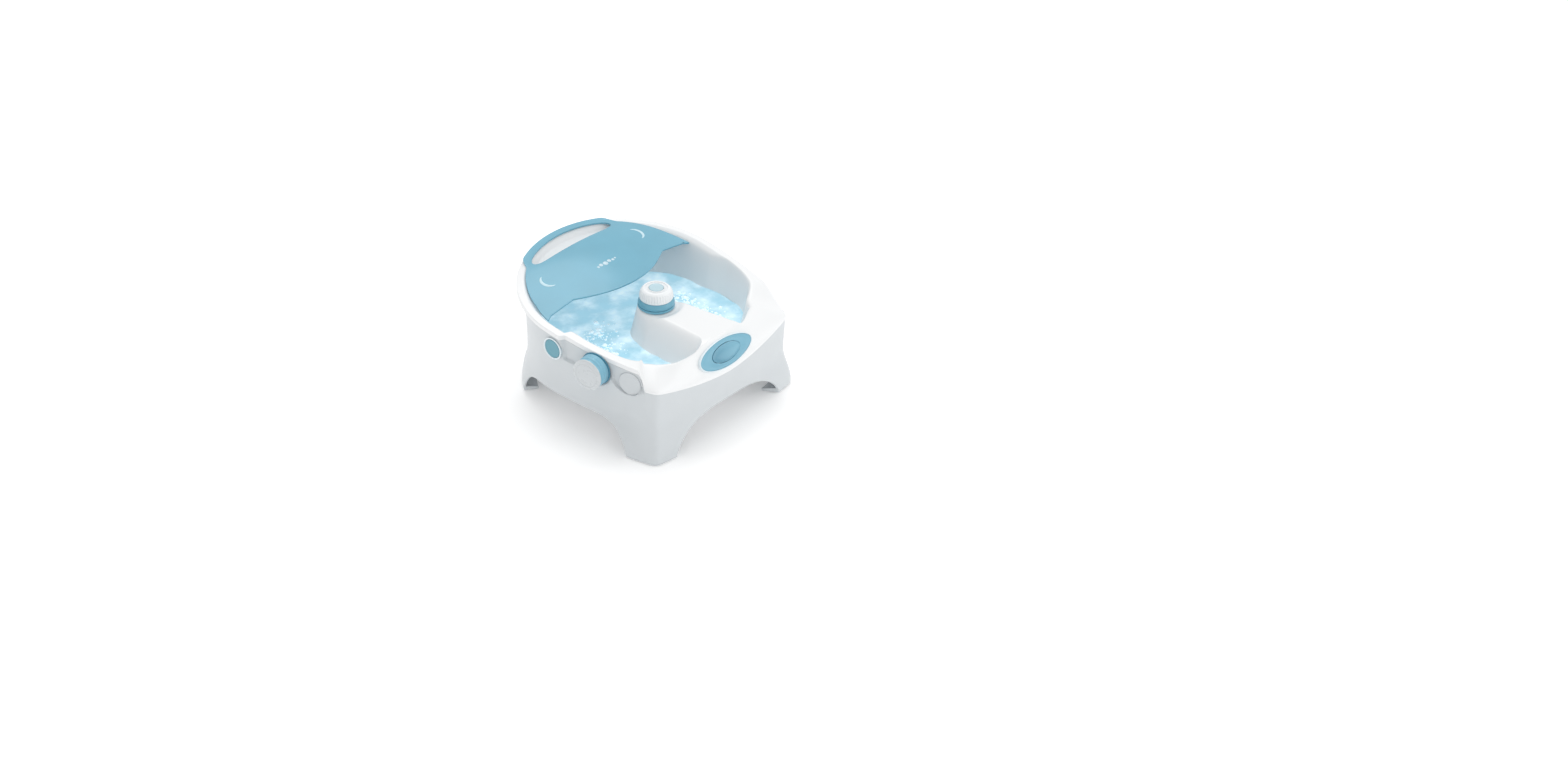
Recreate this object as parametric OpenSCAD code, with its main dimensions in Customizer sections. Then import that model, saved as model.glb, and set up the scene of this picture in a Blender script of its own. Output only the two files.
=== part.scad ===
// Foot spa basin: bath with a centre ridge, splash guard, powered hub, docked heads and drive gear.
// Units are millimetres. The origin is on the floor, in the middle of the outline. +Z is up,
// -Y is the end with the oval control, and -X is the side with the docks.

/* [Overall] */
// width over the rim at its widest
body_w = 370; // [330:1:450]
// length over the rim, middle of the front to the back
body_l = 389; // [340:1:470]
// height of the rim at the back
rim_back_h = 195; // [175:1:225]
// height of the side rim where it reaches the front corners
rim_front_h = 153; // [140:1:175]
// width between the two front corners
front_w = 308; // [250:1:340]
// how far the front edge bows out in the middle
front_bow = 13.5; // [4:0.5:22]
// where the body is widest, measured from the middle
widest_y = 25; // [0:1:50]

/* [Bath] */
// inside height of the bath floor
floor_h = 76; // [70:1:92]
// wall thickness of the bath moulding
bath_t = 3; // [2.5:0.1:4]
// width of the flat rim band
rim_band = 12; // [9:0.5:16]
// width of the sloped ledge that carries the splash guard
ledge_w = 8; // [5:0.5:11]
// outer lip height of the rim
lip_h = 7; // [5:0.5:10]
// width of the sloped apron at the front
apron_run = 23.5; // [18:0.5:30]
// height of the crest between the apron and the wells
crest_h = 151; // [140:1:165]
// height of the crease under the apron in the middle
crease_mid_h = 108; // [100:1:118]
// height of the crease under the apron at the corners
crease_end_h = 131; // [122:1:140]

/* [Ridge and hub] */
// height of the ridge between the wells
ridge_h = 160; // [140:1:170]
// half width of the ridge top beside the hub
ridge_half_w = 31; // [28:1:40]
// distance of the hub axis in front of the middle
hub_front = 37; // [20:1:60]
// height of the flat seat under the hub
hub_seat_h = 156; // [140:1:160]
// radius of the hub seat
hub_seat_r = 33.5; // [31:0.5:37]
// height of the hub knob above its seat
hub_head_h = 34; // [30:1:44]
// radius of the white knob
knob_r = 25.5; // [20:0.5:27]
// radius of the drive spindle
spindle_r = 4; // [3:0.25:5]
// radial running clearance of turning shafts
run_gap = 0.06; // [0.03:0.01:0.1]

/* [Housing] */
// wall thickness of the outer housing
shell_t = 3; // [2.5:0.1:4]
// how far the wall sits in from the rim beside the docks
side_inset = 3.5; // [2:0.5:8]
// how far the wall at the back sits in from the inner edge of the rim band
back_inset = 1; // [-3:0.5:3]
// depth of the dock niche in the left side
niche_depth = 5; // [3:0.5:7]
// height of the waist above the legs
waist_h = 72; // [66:1:82]
// height of the arch between the front legs
front_arch_h = 55; // [30:1:60]
// height of the arches between the side legs
side_arch_h = 53; // [30:1:58]
// gap left between fixed mouldings
part_gap = 0.4; // [0.3:0.05:0.8]

/* [Docks] */
// radius of the round dock cups
cup_r = 19; // [14:0.5:20]
// height of the dock axes
dock_h = 135; // [130:1:138]
// radius of the large docked head
head_r = 25.5; // [20:0.5:27]
// how far the large docked head stands out of the niche
head_out = 26; // [16:1:34]
// radius of the small flush head
small_head_r = 15.5; // [12:0.5:18]
// radius of the peg that each head pushes onto
peg_r = 4; // [3:0.25:5]

/* [Toe control] */
// half length of the oval panel
panel_a = 60; // [45:1:68]
// half height of the oval panel
panel_b = 23.5; // [18:0.5:26]
// half length of the dished button
button_a = 31; // [24:0.5:36]
// half height of the dished button
button_b = 13.5; // [10:0.5:15]
// travel of the toe button
button_travel = 2; // [1:0.25:2.5]
// slope of the oval panel in degrees
panel_tilt = 62; // [55:1:68]

/* [Splash guard] */
// thickness of the splash guard
guard_t = 2.5; // [2:0.1:3.5]
// height of the guard in the middle of its front edge
guard_front_h = 182.5; // [180:0.5:190]
// rise of the guard from its front edge to the slot
guard_rise = 17.5; // [12:0.5:22]
// fall of the guard from its middle to its sides
guard_fall = 17; // [12:0.5:22]
// half width of the hand slot
slot_half_w = 88; // [60:1:95]
// where the straight edge of the hand slot lies
slot_y = 141; // [130:1:150]

/* [Drive] */
// gear tooth module
gear_mod = 2; // [1.5:0.25:2.5]
// teeth on the spindle gear
gear_teeth = 26; // [20:1:28]
// teeth on the motor pinion
pinion_teeth = 12; // [12:1:14]
// radius of the air blower casing
blower_r = 30; // [24:1:33]
// radius of the drive motor
motor_r = 16; // [12:0.5:18]

/* [Hidden] */
$fn = 64;
half_w = body_w / 2;
half_l = body_l / 2;
corner_y = half_l - front_bow;
corner_a = atan2(corner_y, front_w / 2);
kx = body_w / 370;
ky = body_l / 389;
hub_y = -hub_front;
rim_mid_h = (rim_back_h + rim_front_h) / 2 - 2.2;
waist_side = side_inset + 6.5;
niche_y0 = -160 * ky;
niche_y1 = -6 * ky;
dock_mid_y = -70 * ky;
dock_front_y = -130 * ky;
dock_rear_y = 13 * ky;
dock_front_h = dock_h - 8;
panel_y = -corner_y - 2.5;
panel_h = (crease_mid_h + ridge_h) / 2;
base_h = 45;
base_t = 3;
tray_d = 20;
foot_h = 2.5;
foot_r = 9;
screw_pts = [[106 * kx, -106 * ky], [-106 * kx, -106 * ky], [96 * kx, 100 * ky], [-96 * kx, 100 * ky]];
taper = front_w / 2 - 154 * kx;
ridge_more = ridge_half_w - 31;
strip_x = 90 * kx + 0.62 * ridge_more;
strip_y0 = -96 * ky - 0.95 * taper + 1.2 * ridge_more;
strip_y1 = 40 * ky;
gear_z = 100;
gear_t = 8;
motor_y = hub_y - gear_mod * (gear_teeth + pinion_teeth) / 2;
blower_y = motor_y - motor_r - blower_r - 6;
blower_z = 51;
blower_t = 24;
air_z = floor_h - bath_t - 5.8;
vib_p = [62 * kx, 66 * ky, 60];
gland_z = 68;
head_z = hub_seat_h + 5.4;
knob_z = hub_seat_h + 16;
knob_top = hub_seat_h + hub_head_h;

function mix(a, b, t) = a + (b - a) * t;
function clamp01(t) = min(max(t, 0), 1);
function ease(a, b, x) = let (t = clamp01((x - a) / (b - a))) t * t * (3 - 2 * t);

// radius of the plan outline in direction th, moved in by d
function back_r(c, s, w, bb) =
    let (qa = c * c / (w * w) + s * s / (bb * bb))
    let (qb = -s * widest_y / (bb * bb), qc = widest_y * widest_y / (bb * bb) - 1)
    (-qb + sqrt(qb * qb - qa * qc)) / qa;
function side_r(c, s, w, wc, b1) =
    let (k = (w - wc) / pow(widest_y + b1, 2))
    let (num = w - k * widest_y * widest_y, lin = c - 2 * k * widest_y * s)
    2 * num / (lin + sqrt(max(lin * lin + 4 * k * s * s * num, 0.000001)));
function front_r(c, s, wc, b1) =
    let (sf = max(-s, 0.000001), fa = front_bow * c * c / (wc * wc))
    2 * (b1 + front_bow) / (sf + sqrt(sf * sf + 4 * fa * (b1 + front_bow)));
function plan_r(th, d) =
    let (c = abs(cos(th)), s = sin(th), w = half_w - d, wc = front_w / 2 - d)
    let (rb = back_r(c, s, w, half_l - d - widest_y), rs = side_r(c, s, w, wc, corner_y - d))
    let (r = rs * s < widest_y ? rs : rb, rf = front_r(c, s, wc, corner_y - d), m = min(r, rf))
    s > -0.05 ? r : m * pow(pow(r / m, -60) + pow(rf / m, -60), -1 / 60);
function plan_p(th, d) = plan_r(th, d) * [cos(th), sin(th)];
function side_x(y) = half_w - (half_w - front_w / 2) * pow((y - widest_y) / (widest_y + corner_y), 2);

// heights along the rim and over the apron
function rim_z(y) =
    let (t = (y + corner_y) / (corner_y + half_l))
    rim_front_h * (1 - t) * (1 - 2 * t) + 4 * rim_mid_h * t * (1 - t) + rim_back_h * t * (2 * t - 1);
function is_front(x, y) = 1 - ease(x > 0 ? 4 : 18, x > 0 ? 72 : 30, y + corner_y);
function crest_z(x) = crest_h + (ridge_h - crest_h) * exp(-pow(x / 55, 2));
function crease_z(x) = mix(crease_mid_h, crease_end_h, pow(min(abs(x) / (front_w / 2), 1), 1.6));
function in_niche(x, y) =
    x > 0 ? 0 : ease(niche_y0 - 3, niche_y0 + 3, y) * (1 - ease(niche_y1 - 3, niche_y1 + 3, y));

// directions of the plan columns: even steps, with more at the corners and at the niche ends
niche_dirs = [for (y = [niche_y0 - 4, niche_y0 + 4, niche_y1 - 4, niche_y1 + 4]) atan2(y, side_x(y))];
after_corner = [for (i = [14, 20]) if (i - corner_a < -39) i - corner_a];
half_dirs = concat([for (i = [-90:3:-60]) i], [for (i = [-8:2:8]) i - corner_a], after_corner,
    [for (i = [-36:6:90]) i], niche_dirs);
function sorted(v) = len(v) <= 1 ? v :
    let (p = v[floor(len(v) / 2)])
    concat(sorted([for (e = v) if (e < p - 0.5) e]), [p], sorted([for (e = v) if (e > p + 0.5) e]));
right_dirs = concat([-90], sorted([for (t = half_dirs) if (t > -89.4 && t < 89.4) t]), [90]);
dirs = concat(right_dirs, [for (i = [len(right_dirs) - 2:-1:1]) 180 - right_dirs[i]]);
cols = len(dirs);

// one plan column: outline point, rim's inner edge point, insets, and heights of rim and edge
function column(th) =
    let (o = plan_p(th, 0), f = is_front(o.x, o.y), n = in_niche(o.x, o.y))
    let (d0 = n * (side_inset + niche_depth), d1 = d0 + mix(rim_band, apron_run, f) + 3 * n)
    let (e = plan_p(th, d1))
    let (top = mix(rim_z(o.y), crest_z(e.x), f), edge = mix(rim_z(o.y) - 1, crease_z(o.x), f))
    [th, o, e, d0, d1, top, edge, f, n];
columns = [for (th = dirs) column(th)];
function lip_of(c) = c[6] - mix(lip_h, 4, c[7]);
function at_d(c, d, z) = let (p = plan_p(c[0], d)) [p.x, p.y, z];

// bath surface at plan point x,y, which lies w in from the rim's inner edge, moved out by t
function left_soft(x, y) = x > 0 ? 0 : 1 - ease(10, 60, y);
function slot_shelf(x, y, top) =
    let (ends = 1 - ease(slot_half_w * kx + 2, slot_half_w * kx + 9, abs(x)))
    (top - floor_h - 10) * ease(slot_y * ky - 8, slot_y * ky - 2, y) * ends;
function bath_wall(x, y, w, t, top) =
    let (led = ledge_w * ease(-40, 0, y), soft = left_soft(x, y), v = w + t)
    v < led ? top - floor_h - v : max(slot_shelf(x, y, top),
    (top - floor_h - led) * pow(max(0, 1 - (v - led) / mix(37, 41, soft)), mix(3.2, 2.2, soft)));
function ridge_share(x, y, t) =
    let (q = norm([x, max(0, y - hub_y)]), soft = x > 0 ? 0 : ease(10, -20, y - hub_y))
    let (v = q - ridge_half_w - 0.12 * max(0, hub_y - y) * (1 - soft) + t)
    let (sharp = pow(clamp01(1 - v / 28), 2.2), round = 1 - ease(-8, 38, v))
    mix(sharp, pow(round, 1.15), soft);
function ridge_top(x, y) =
    mix(hub_seat_h, ridge_h, y > hub_y ? 0 : ease(hub_seat_r, hub_seat_r + 12, norm([x, y - hub_y])));
function bath_z(x, y, w, t, top) =
    let (a = max(0, bath_wall(x, y, w, t, top)) / (top - floor_h), b = ridge_share(x, y, t))
    let (share = min(1, pow(pow(a, 2.2) + pow(b, 2.2), 1 / 2.2)))
    let (k = pow(a, 4) / (pow(a, 4) + pow(b, 4) + 0.000001))
    floor_h - t + mix(ridge_top(x, y) - floor_h, top - floor_h, k) * share;
// each column runs from the rim's inner edge to a point on the ridge's spine
function spine_p(c) =
    let (a = c[0] > 90 ? 180 - c[0] : c[0], first = atan2(hub_y, half_w))
    [0, hub_y + (hub_front - 0.77 * half_l) * clamp01((first - a) / (90 + first))];
rim_steps = [0, 1.5, 4, 8, 12, 18, 26, 36, 48];
spine_steps = [66, 58, 51, 45, 39, 33, 27, 18, 9, 2.5];
function bath_q(c, i) =
    let (len = norm(c[2] - spine_p(c)), m = clamp01((len - 10) / 110))
    i < 9 ? len - rim_steps[i] * m :
    i < 12 ? mix(len - 48 * m, 66 * m, (i - 8) / 4) : spine_steps[i - 12] * m;
function bath_p(c, i, t) =
    let (h = spine_p(c), len = norm(c[2] - h), q = bath_q(c, i), p = h + (c[2] - h) * (q / len))
    [p.x, p.y, bath_z(p.x, p.y, len - q, t, c[5])];
bath_rows = 22;
function rim_p(c, u, drop) =
    at_d(c, mix(c[3], c[4], u), mix(c[6], c[5], pow(u, 0.85)) - drop);

// closed skins from rings of points
function ring_quads(n, i, e) = [for (j = [0:n - 1]) for (h = [0, 1])
    let (a = i * n + j, b = i * n + (j + 1) % n, c = e * n + j, d = e * n + (j + 1) % n)
    h == 0 ? [a, b, c] : [b, d, c]];
module zipped_skin(rings) {
    n = len(rings[0]);
    k = len(rings);
    sides = [for (i = [0:k - 2]) each ring_quads(n, i, i + 1)];
    seam = [for (j = [0:n / 2 - 1]) for (e = [0, (k - 1) * n]) for (h = [0, 1])
        let (a = j + e, b = j + 1 + e, c = (n - j) % n + e, d = (n - j - 1) % n + e)
        let (f = h == 0 ? [a, c, b] : [b, c, d])
        e == 0 ? f : [f[0], f[2], f[1]]];
    caps = [for (f = seam) if (f[0] != f[1] && f[1] != f[2] && f[0] != f[2]) f];
    polyhedron(points = [for (r = rings) each r], faces = concat(sides, caps));
}
module tube_skin(rings) {
    n = len(rings[0]);
    k = len(rings);
    faces = [for (i = [0:k - 1]) each ring_quads(n, i, (i + 1) % k)];
    polyhedron(points = [for (r = rings) each r], faces = faces);
}

// places children on the wall of the left side: local +X points straight out of the wall
function wall_slope(y) = atan(2 * (half_w - front_w / 2) * (widest_y - y) / pow(widest_y + corner_y, 2));
module on_left(y, z, d) {
    translate([d - side_x(y), y, z])
    rotate([0, 0, 180 + (y < widest_y ? wall_slope(y) : 0)])
    children();
}
module rod_x(r, x0, x1) {
    translate([x0, 0, 0])
    rotate([0, 90, 0])
    cylinder(r = r, h = x1 - x0);
}
module rod_y(r, y0, y1) {
    translate([0, y0, 0])
    rotate([-90, 0, 0])
    cylinder(r = r, h = y1 - y0);
}
module rod_z(r, z0, z1) {
    translate([0, 0, z0])
    cylinder(r = r, h = z1 - z0);
}
module ring_z(r_out, r_in, z0, z1) {
    difference() {
        rod_z(r_out, z0, z1);
        rod_z(r_in, z0 - 1, z1 + 1);
    }
}
module mirror_x() {
    children();
    mirror([1, 0, 0])
    children();
}
module on_panel() {
    translate([0, panel_y, panel_h])
    rotate([panel_tilt, 0, 0])
    children();
}
module oval(a, b, z0, z1) {
    translate([0, 0, z0])
    linear_extrude(z1 - z0)
    polygon([for (i = [0:59]) [a * cos(6 * i), b * sin(6 * i)]]);
}

// housing wall
function back_part(y) = ease(0, 120 * ky, y);
function near_front(y) = 1 - ease(8, 60, y + corner_y);
function wall_d(c, z) =
    let (y = c[1].y, zt = house_top(c))
    let (dt = mix(mix(side_inset, rim_band + back_inset, back_part(y)), 1, c[7]))
    let (dw = mix(mix(waist_side, rim_band + back_inset + 2, back_part(y)), 2, near_front(y)))
    let (df = mix(-8, 4, ease(-120, 40, y)))
    let (low = mix(df, dw, ease(8, waist_h - 2, z)), high = mix(dw, dt, ease(waist_h, zt, z)))
    (z > waist_h ? high : low) + niche_depth * c[8] * ease(dock_h - 35, dock_h - 28, z);
function under_lip(c) =
    let (y = c[1].y, far = c[1].x > 0 ? 42 : 0)
    let (beside = ease(niche_y0 - 9, niche_y0 - 5, y) * (1 - ease(niche_y1 + 5, niche_y1 + 9, y)))
    let (side = c[1].x > 0 ? 0 : beside)
    max(1 - ease(34 + far, 42 + far, y + corner_y), side);
function house_top(c) =
    mix(rim_z(c[1].y) - mix(3.8, 8, back_part(c[1].y)), lip_of(c) - part_gap, under_lip(c));
function house_top_in(c) = house_top(c) - 3.2 * back_part(c[1].y);
wall_levels = [dock_h - 7, dock_h - 27, dock_h - 36, waist_h + 13, waist_h, 52, 36, 22, 10];
function wall_ring(in, z) = [for (c = columns)
    let (zz = min(z, house_top(c) - (z > 120 ? 2 : z > 100 ? 4 : 8)))
    at_d(c, wall_d(c, zz) + in, zz)];
module arch_cut(w, h, p) {
    linear_extrude(90)
    polygon(concat([[-w, -5]],
        [for (i = [-20:20]) [w * i / 20, h * pow(1 - pow(abs(i / 20), p), 1 / 1.7)]], [[w, -5]]));
}
module outer_housing() {
    top_out = [for (c = columns) at_d(c, wall_d(c, house_top(c)), house_top(c))];
    top_in = [for (c = columns) at_d(c, wall_d(c, house_top(c)) + shell_t, house_top_in(c))];
    outs = [for (z = wall_levels) wall_ring(0, z)];
    ins = [for (i = [len(wall_levels) - 1:-1:0]) wall_ring(shell_t, wall_levels[i])];
    foot_out = [for (c = columns) at_d(c, wall_d(c, foot_h), foot_h)];
    foot_in = [for (c = columns) at_d(c, wall_d(c, foot_h) + 24, foot_h)];
    flange_in = [for (c = columns) at_d(c, wall_d(c, 8) + 24, 7)];
    color([0.84, 0.85, 0.86])
    difference() {
        tube_skin(concat([top_out], outs, [foot_out, foot_in, flange_in], ins, [top_in]));
        translate([0, -half_l + 45, 0])
        rotate([90, 0, 0])
        arch_cut(113 * kx, front_arch_h, 3);
        translate([0, half_l + 40, 0])
        rotate([90, 0, 0])
        arch_cut(75 * kx, side_arch_h - 4, 4);
        mirror_x()
        translate([half_w - 60, -9 * ky, 0])
        rotate([90, 0, 90])
        arch_cut(117 * ky, side_arch_h, 6);
        on_left(dock_front_y, dock_front_h, side_inset + niche_depth)
        rod_x(cup_r + part_gap, -14, 8);
        on_left(dock_mid_y, dock_h, side_inset + niche_depth)
        rod_x(cup_r + part_gap, -14, 8);
        on_left(dock_rear_y, dock_h + 4, side_inset)
        rod_x(small_head_r + 2.4, -14, 8);
        on_panel()
        oval(panel_a - 2, panel_b - 1, -16, 12);
        translate([0, 0, gland_z])
        rod_y(6.3, half_l - 40, half_l + 5);
        for (p = feet)
            translate([p.x, p.y, 0])
            rod_z(foot_r + 0.3, 0, 4);
    }
}
feet = [for (s = [-1, 1]) for (p = [plan_p(-corner_a, 7), plan_p(50, 16)]) [s * p.x, p.y]];

module basin() {
    inner_top = [for (i = [bath_rows - 1:-1:0]) [for (c = columns) bath_p(c, i, 0)]];
    inner_low = [for (i = [0:bath_rows - 1]) [for (c = columns) bath_p(c, i, bath_t)]];
    band = [for (u = [0.85, 0.6, 0.35, 0.12]) [for (c = columns) rim_p(c, u, 0)]];
    edge = [for (c = columns) rim_p(c, 0, 1.5)];
    lip_a = [for (c = columns) at_d(c, c[3], lip_of(c))];
    lip_b = [for (c = columns) at_d(c, c[3] + bath_t, lip_of(c))];
    under_a = [for (c = columns)
        at_d(c, c[3] + bath_t, mix(c[6] - 2.3, c[6] + 0.13 * (c[5] - c[6]) - 6, c[7]))];
    under_b = [for (c = columns)
        at_d(c, c[4] - bath_t, mix(c[5] - 3, c[5] - 0.13 * (c[5] - c[6]) - 6, c[7]))];
    color([0.94, 0.94, 0.95])
    difference() {
        union() {
            zipped_skin(concat(inner_top, band, [edge, lip_a, lip_b, under_a, under_b], inner_low));
            translate([0, hub_y, 0])
            ring_z(13, 8, hub_seat_h - 22, hub_seat_h - 1);
            for (p = screw_pts)
                translate([p.x, p.y, 0])
                rod_z(5, base_h + base_t + 0.3, floor_h - 1);
        }
        translate([0, hub_y, 0])
        rod_z(8, hub_seat_h - 16, hub_seat_h + 5);
        translate([0, hub_y, 0])
        rod_z(5, hub_seat_h - 24, hub_seat_h - 10);
        for (p = screw_pts)
            translate([p.x, p.y, 0])
            rod_z(1.8, base_h, base_h + 18);
        on_panel()
        oval(panel_a - 2, panel_b - 1, -12, 14);
        mirror_x()
        for (y = [strip_y0 + 6:12:strip_y1 - 5])
            translate([strip_x, y, 0])
            rod_z(1.6, floor_h - 8, floor_h + 3);
    }
}

// tray that closes the underside
function tray_pts(d) = [for (t = [-90:5:265]) plan_p(t, d)];
module base_cover() {
    color([0.72, 0.73, 0.75])
    difference() {
        translate([0, 0, base_h])
        linear_extrude(21)
        polygon(tray_pts(tray_d));
        translate([0, 0, base_h + base_t])
        linear_extrude(21)
        polygon(tray_pts(tray_d + base_t));
        for (p = screw_pts)
            translate([p.x, p.y, 0]) {
                rod_z(2.2, base_h - 1, base_h + 5);
                rod_z(4.2, base_h - 1, base_h + 1.4);
            }
        translate([0, 0, gland_z])
        rod_y(9.6, half_l - 40, half_l);
        for (x = [-30:12:30])
            translate([x * kx - 2, 30 * ky, base_h - 1])
            cube([4, 44, 6]);
    }
}
module base_screws() {
    color([0.6, 0.61, 0.63])
    for (p = screw_pts)
        translate([p.x, p.y, 0])
        difference() {
            union() {
                rod_z(4, base_h - 1, base_h + 1.2);
                rod_z(1.75, base_h, base_h + 16);
            }
            translate([-2.6, -0.5, base_h - 1.5])
            cube([5.2, 1, 1.3]);
        }
}
module rubber_feet() {
    color([0.3, 0.31, 0.33])
    for (p = feet)
        translate([p.x, p.y, 0])
        rod_z(foot_r, 0, 3.9);
}

// bath fittings
module air_strips() {
    color([0.8, 0.86, 0.9])
    mirror_x()
    translate([strip_x, 0, 0])
    difference() {
        union() {
            translate([-6, strip_y0, floor_h + 0.2])
            cube([12, strip_y1 - strip_y0, 3]);
            for (y = [strip_y0, strip_y1])
                translate([0, y, floor_h + 0.2])
                cylinder(r = 6, h = 3);
        }
        for (y = [strip_y0 + 6:12:strip_y1 - 5])
            translate([0, y, 0])
            rod_z(1.2, floor_h - 1, floor_h + 5);
        translate([-2.5, strip_y0, floor_h - 1])
        cube([5, strip_y1 - strip_y0, 2.6]);
    }
}
module sole_nodes() {
    color([0.86, 0.9, 0.93])
    mirror_x()
    for (x = [strip_x - 13, strip_x + 13])
        translate([x, 0, floor_h + 0.9]) {
            translate([-5.5, strip_y0, 0])
            cube([11, strip_y1 - strip_y0, 2]);
            for (y = [strip_y0 + 9:17.5:strip_y1 - 6])
                translate([0, y, 2])
                cylinder(r1 = 5.5, r2 = 3, h = 4.5);
        }
}

// toe control
module toe_bezel() {
    color([0.54, 0.75, 0.84])
    on_panel()
    difference() {
        union() {
            oval(panel_a - 2.4, panel_b - 1.4, -5, 1.5);
            oval(panel_a, panel_b, 1.5, 3.5);
        }
        oval(button_a + 0.5, button_b + 0.5, -6, 5);
    }
}
module toe_button() {
    dish_r = (button_a * button_a + 9) / 6;
    color([0.5, 0.69, 0.77])
    on_panel()
    difference() {
        union() {
            oval(button_a, button_b, -2.2, 3.2);
            oval(button_a + 2, button_b + 2, -8.3, -5.3);
            rod_z(4, -8.3, 0);
            oval(button_a - 4, button_b - 4, -5.5, -2);
        }
        translate([0, 0, 0.7 + dish_r])
        sphere(r = dish_r, $fn = 96);
    }
}
module toe_switch() {
    color([0.22, 0.24, 0.27])
    on_panel() {
        translate([-6, -4, -21])
        cube([12, 8, 9]);
        rod_z(1.6, -12.5, -8.3 - button_travel - 0.2);
    }
}

// hub and its drive
module hub_collar() {
    color([0.5, 0.72, 0.82])
    translate([0, hub_y, 0])
    rotate_extrude()
    polygon([[8.5, hub_seat_h + 0.3], [28, hub_seat_h + 0.4], [30, hub_seat_h + 2.2], [29.4, hub_seat_h + 5],
        [8.5, hub_seat_h + 5]]);
}
module spindle_bearing() {
    color([0.78, 0.66, 0.4])
    translate([0, hub_y, 0])
    ring_z(7.95, spindle_r + run_gap, hub_seat_h - 15.5, hub_seat_h - 3);
}
module spindle_seal() {
    color([0.2, 0.2, 0.22])
    translate([0, hub_y, 0])
    ring_z(7.9, spindle_r + run_gap, hub_seat_h - 2.7, hub_seat_h + 1);
}
module spindle() {
    color([0.75, 0.76, 0.78])
    translate([0, hub_y, 0])
    difference() {
        union() {
            rod_z(spindle_r, gear_z - 6, head_z + 9);
            rod_z(7, gear_z - 4, gear_z - 0.2);
        }
        translate([-spindle_r - 1, spindle_r - 1, head_z + 1])
        cube([2 * spindle_r + 2, 5, 20]);
    }
}
function tooth_pt(rb, t, half, k, side) =
    let (r = rb * sqrt(1 + t * t), a = k - side * (half - (t * 180 / PI - atan(t))))
    [r * cos(a), r * sin(a)];
function gear_pts(teeth, m, slack) =
    let (r = m * teeth / 2, rb = r * cos(20), tip = r + 0.8 * m, root = min(r - m, rb - 0.05))
    let (tm = sqrt(pow(tip / rb, 2) - 1), half = 90 / teeth + 0.854 - slack * 90 / (PI * r))
    [for (i = [0:teeth - 1]) let (k = i * 360 / teeth) each concat(
        [[root * cos(k - half), root * sin(k - half)]],
        [for (s = [0:5]) tooth_pt(rb, tm * s / 5, half, k, 1)],
        [for (s = [5:-1:0]) tooth_pt(rb, tm * s / 5, half, k, -1)],
        [[root * cos(k + half), root * sin(k + half)]])];
module spindle_gear() {
    color([0.93, 0.92, 0.86])
    translate([0, hub_y, gear_z])
    rotate([0, 0, -90])
    difference() {
        linear_extrude(gear_t)
        polygon(gear_pts(gear_teeth, gear_mod, 0.25));
        translate([0, 0, -1])
        cylinder(r = spindle_r, h = gear_t + 2);
        for (a = [0:60:300])
            rotate([0, 0, a])
            translate([gear_mod * gear_teeth / 3.2, 0, -1])
            cylinder(r = 4, h = gear_t + 2);
    }
}
module motor_pinion() {
    color([0.78, 0.66, 0.4])
    translate([0, motor_y, gear_z - 1])
    rotate([0, 0, 90 + 180 / pinion_teeth])
    difference() {
        linear_extrude(gear_t + 2)
        polygon(gear_pts(pinion_teeth, gear_mod, 0.25));
        translate([0, 0, -1])
        cylinder(r = 2.5 + run_gap, h = gear_t + 4);
    }
}
module drive_motor() {
    color([0.66, 0.68, 0.71])
    translate([0, motor_y, 0]) {
        rod_z(motor_r, gear_z - 42, gear_z - 8);
        rod_z(motor_r - 6, gear_z - 45, gear_z - 42);
        rod_z(5, gear_z - 8, gear_z - 5.5);
        rod_z(2.5, gear_z - 8, gear_z + gear_t);
    }
}
module motor_bracket() {
    color([0.55, 0.57, 0.6])
    translate([0, motor_y, 0]) {
        difference() {
            translate([-24, -motor_r - 2.5, gear_z - 7.6])
            cube([48, 2 * motor_r + 5, 2]);
            rod_z(5.4, gear_z - 9, gear_z - 5);
        }
        mirror_x()
        translate([21, -7, base_h + base_t + 0.3])
        cube([3, 14, gear_z - 7 - base_h - base_t]);
    }
}
module hub_head_body() {
    r = knob_r + 4;
    color([0.5, 0.72, 0.82])
    translate([0, hub_y, 0])
    difference() {
        rotate_extrude()
        polygon([[0, head_z], [r - 1, head_z], [r, head_z + 2], [r - 0.5, knob_z - 5],
            [r - 2.5, knob_z - 0.2], [0, knob_z - 0.2]]);
        difference() {
            rod_z(spindle_r + run_gap, head_z - 1, head_z + 9.5);
            translate([-10, spindle_r - 0.9, head_z + 1.5])
            cube([20, 10, 20]);
        }
    }
}
module hub_knob() {
    color([0.93, 0.94, 0.95])
    translate([0, hub_y, 0])
    difference() {
        union() {
            rotate_extrude()
            polygon([[0, knob_z], [knob_r + 1.5, knob_z], [knob_r + 1.8, knob_z + 2.5],
                [knob_r + 0.3, knob_z + 9], [knob_r - 2, knob_top - 3.5], [knob_r - 5, knob_top],
                [0, knob_top]]);
            translate([0, 0, knob_z + 2.5])
            linear_extrude(5.5)
            polygon([for (i = [0:71]) (knob_r + (i % 2 == 0 ? 1.7 : 0.2)) * [cos(5 * i), sin(5 * i)]]);
        }
        ring_z(knob_r - 7.5, knob_r - 11.5, knob_top - 2.5, knob_top + 1);
        rod_z(knob_r - 13.5, knob_top - 2, knob_top + 1);
    }
}
module hub_disc() {
    color([0.8, 0.9, 0.94])
    translate([0, hub_y, 0])
    difference() {
        rod_z(knob_r - 13.8, knob_top - 1.8, knob_top + 0.6);
        for (i = [0:5])
            rotate([0, 0, 60 * i])
            translate([knob_r - 19, 0, 0])
            rod_z(1.2, knob_top - 0.3, knob_top + 2);
    }
}

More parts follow.
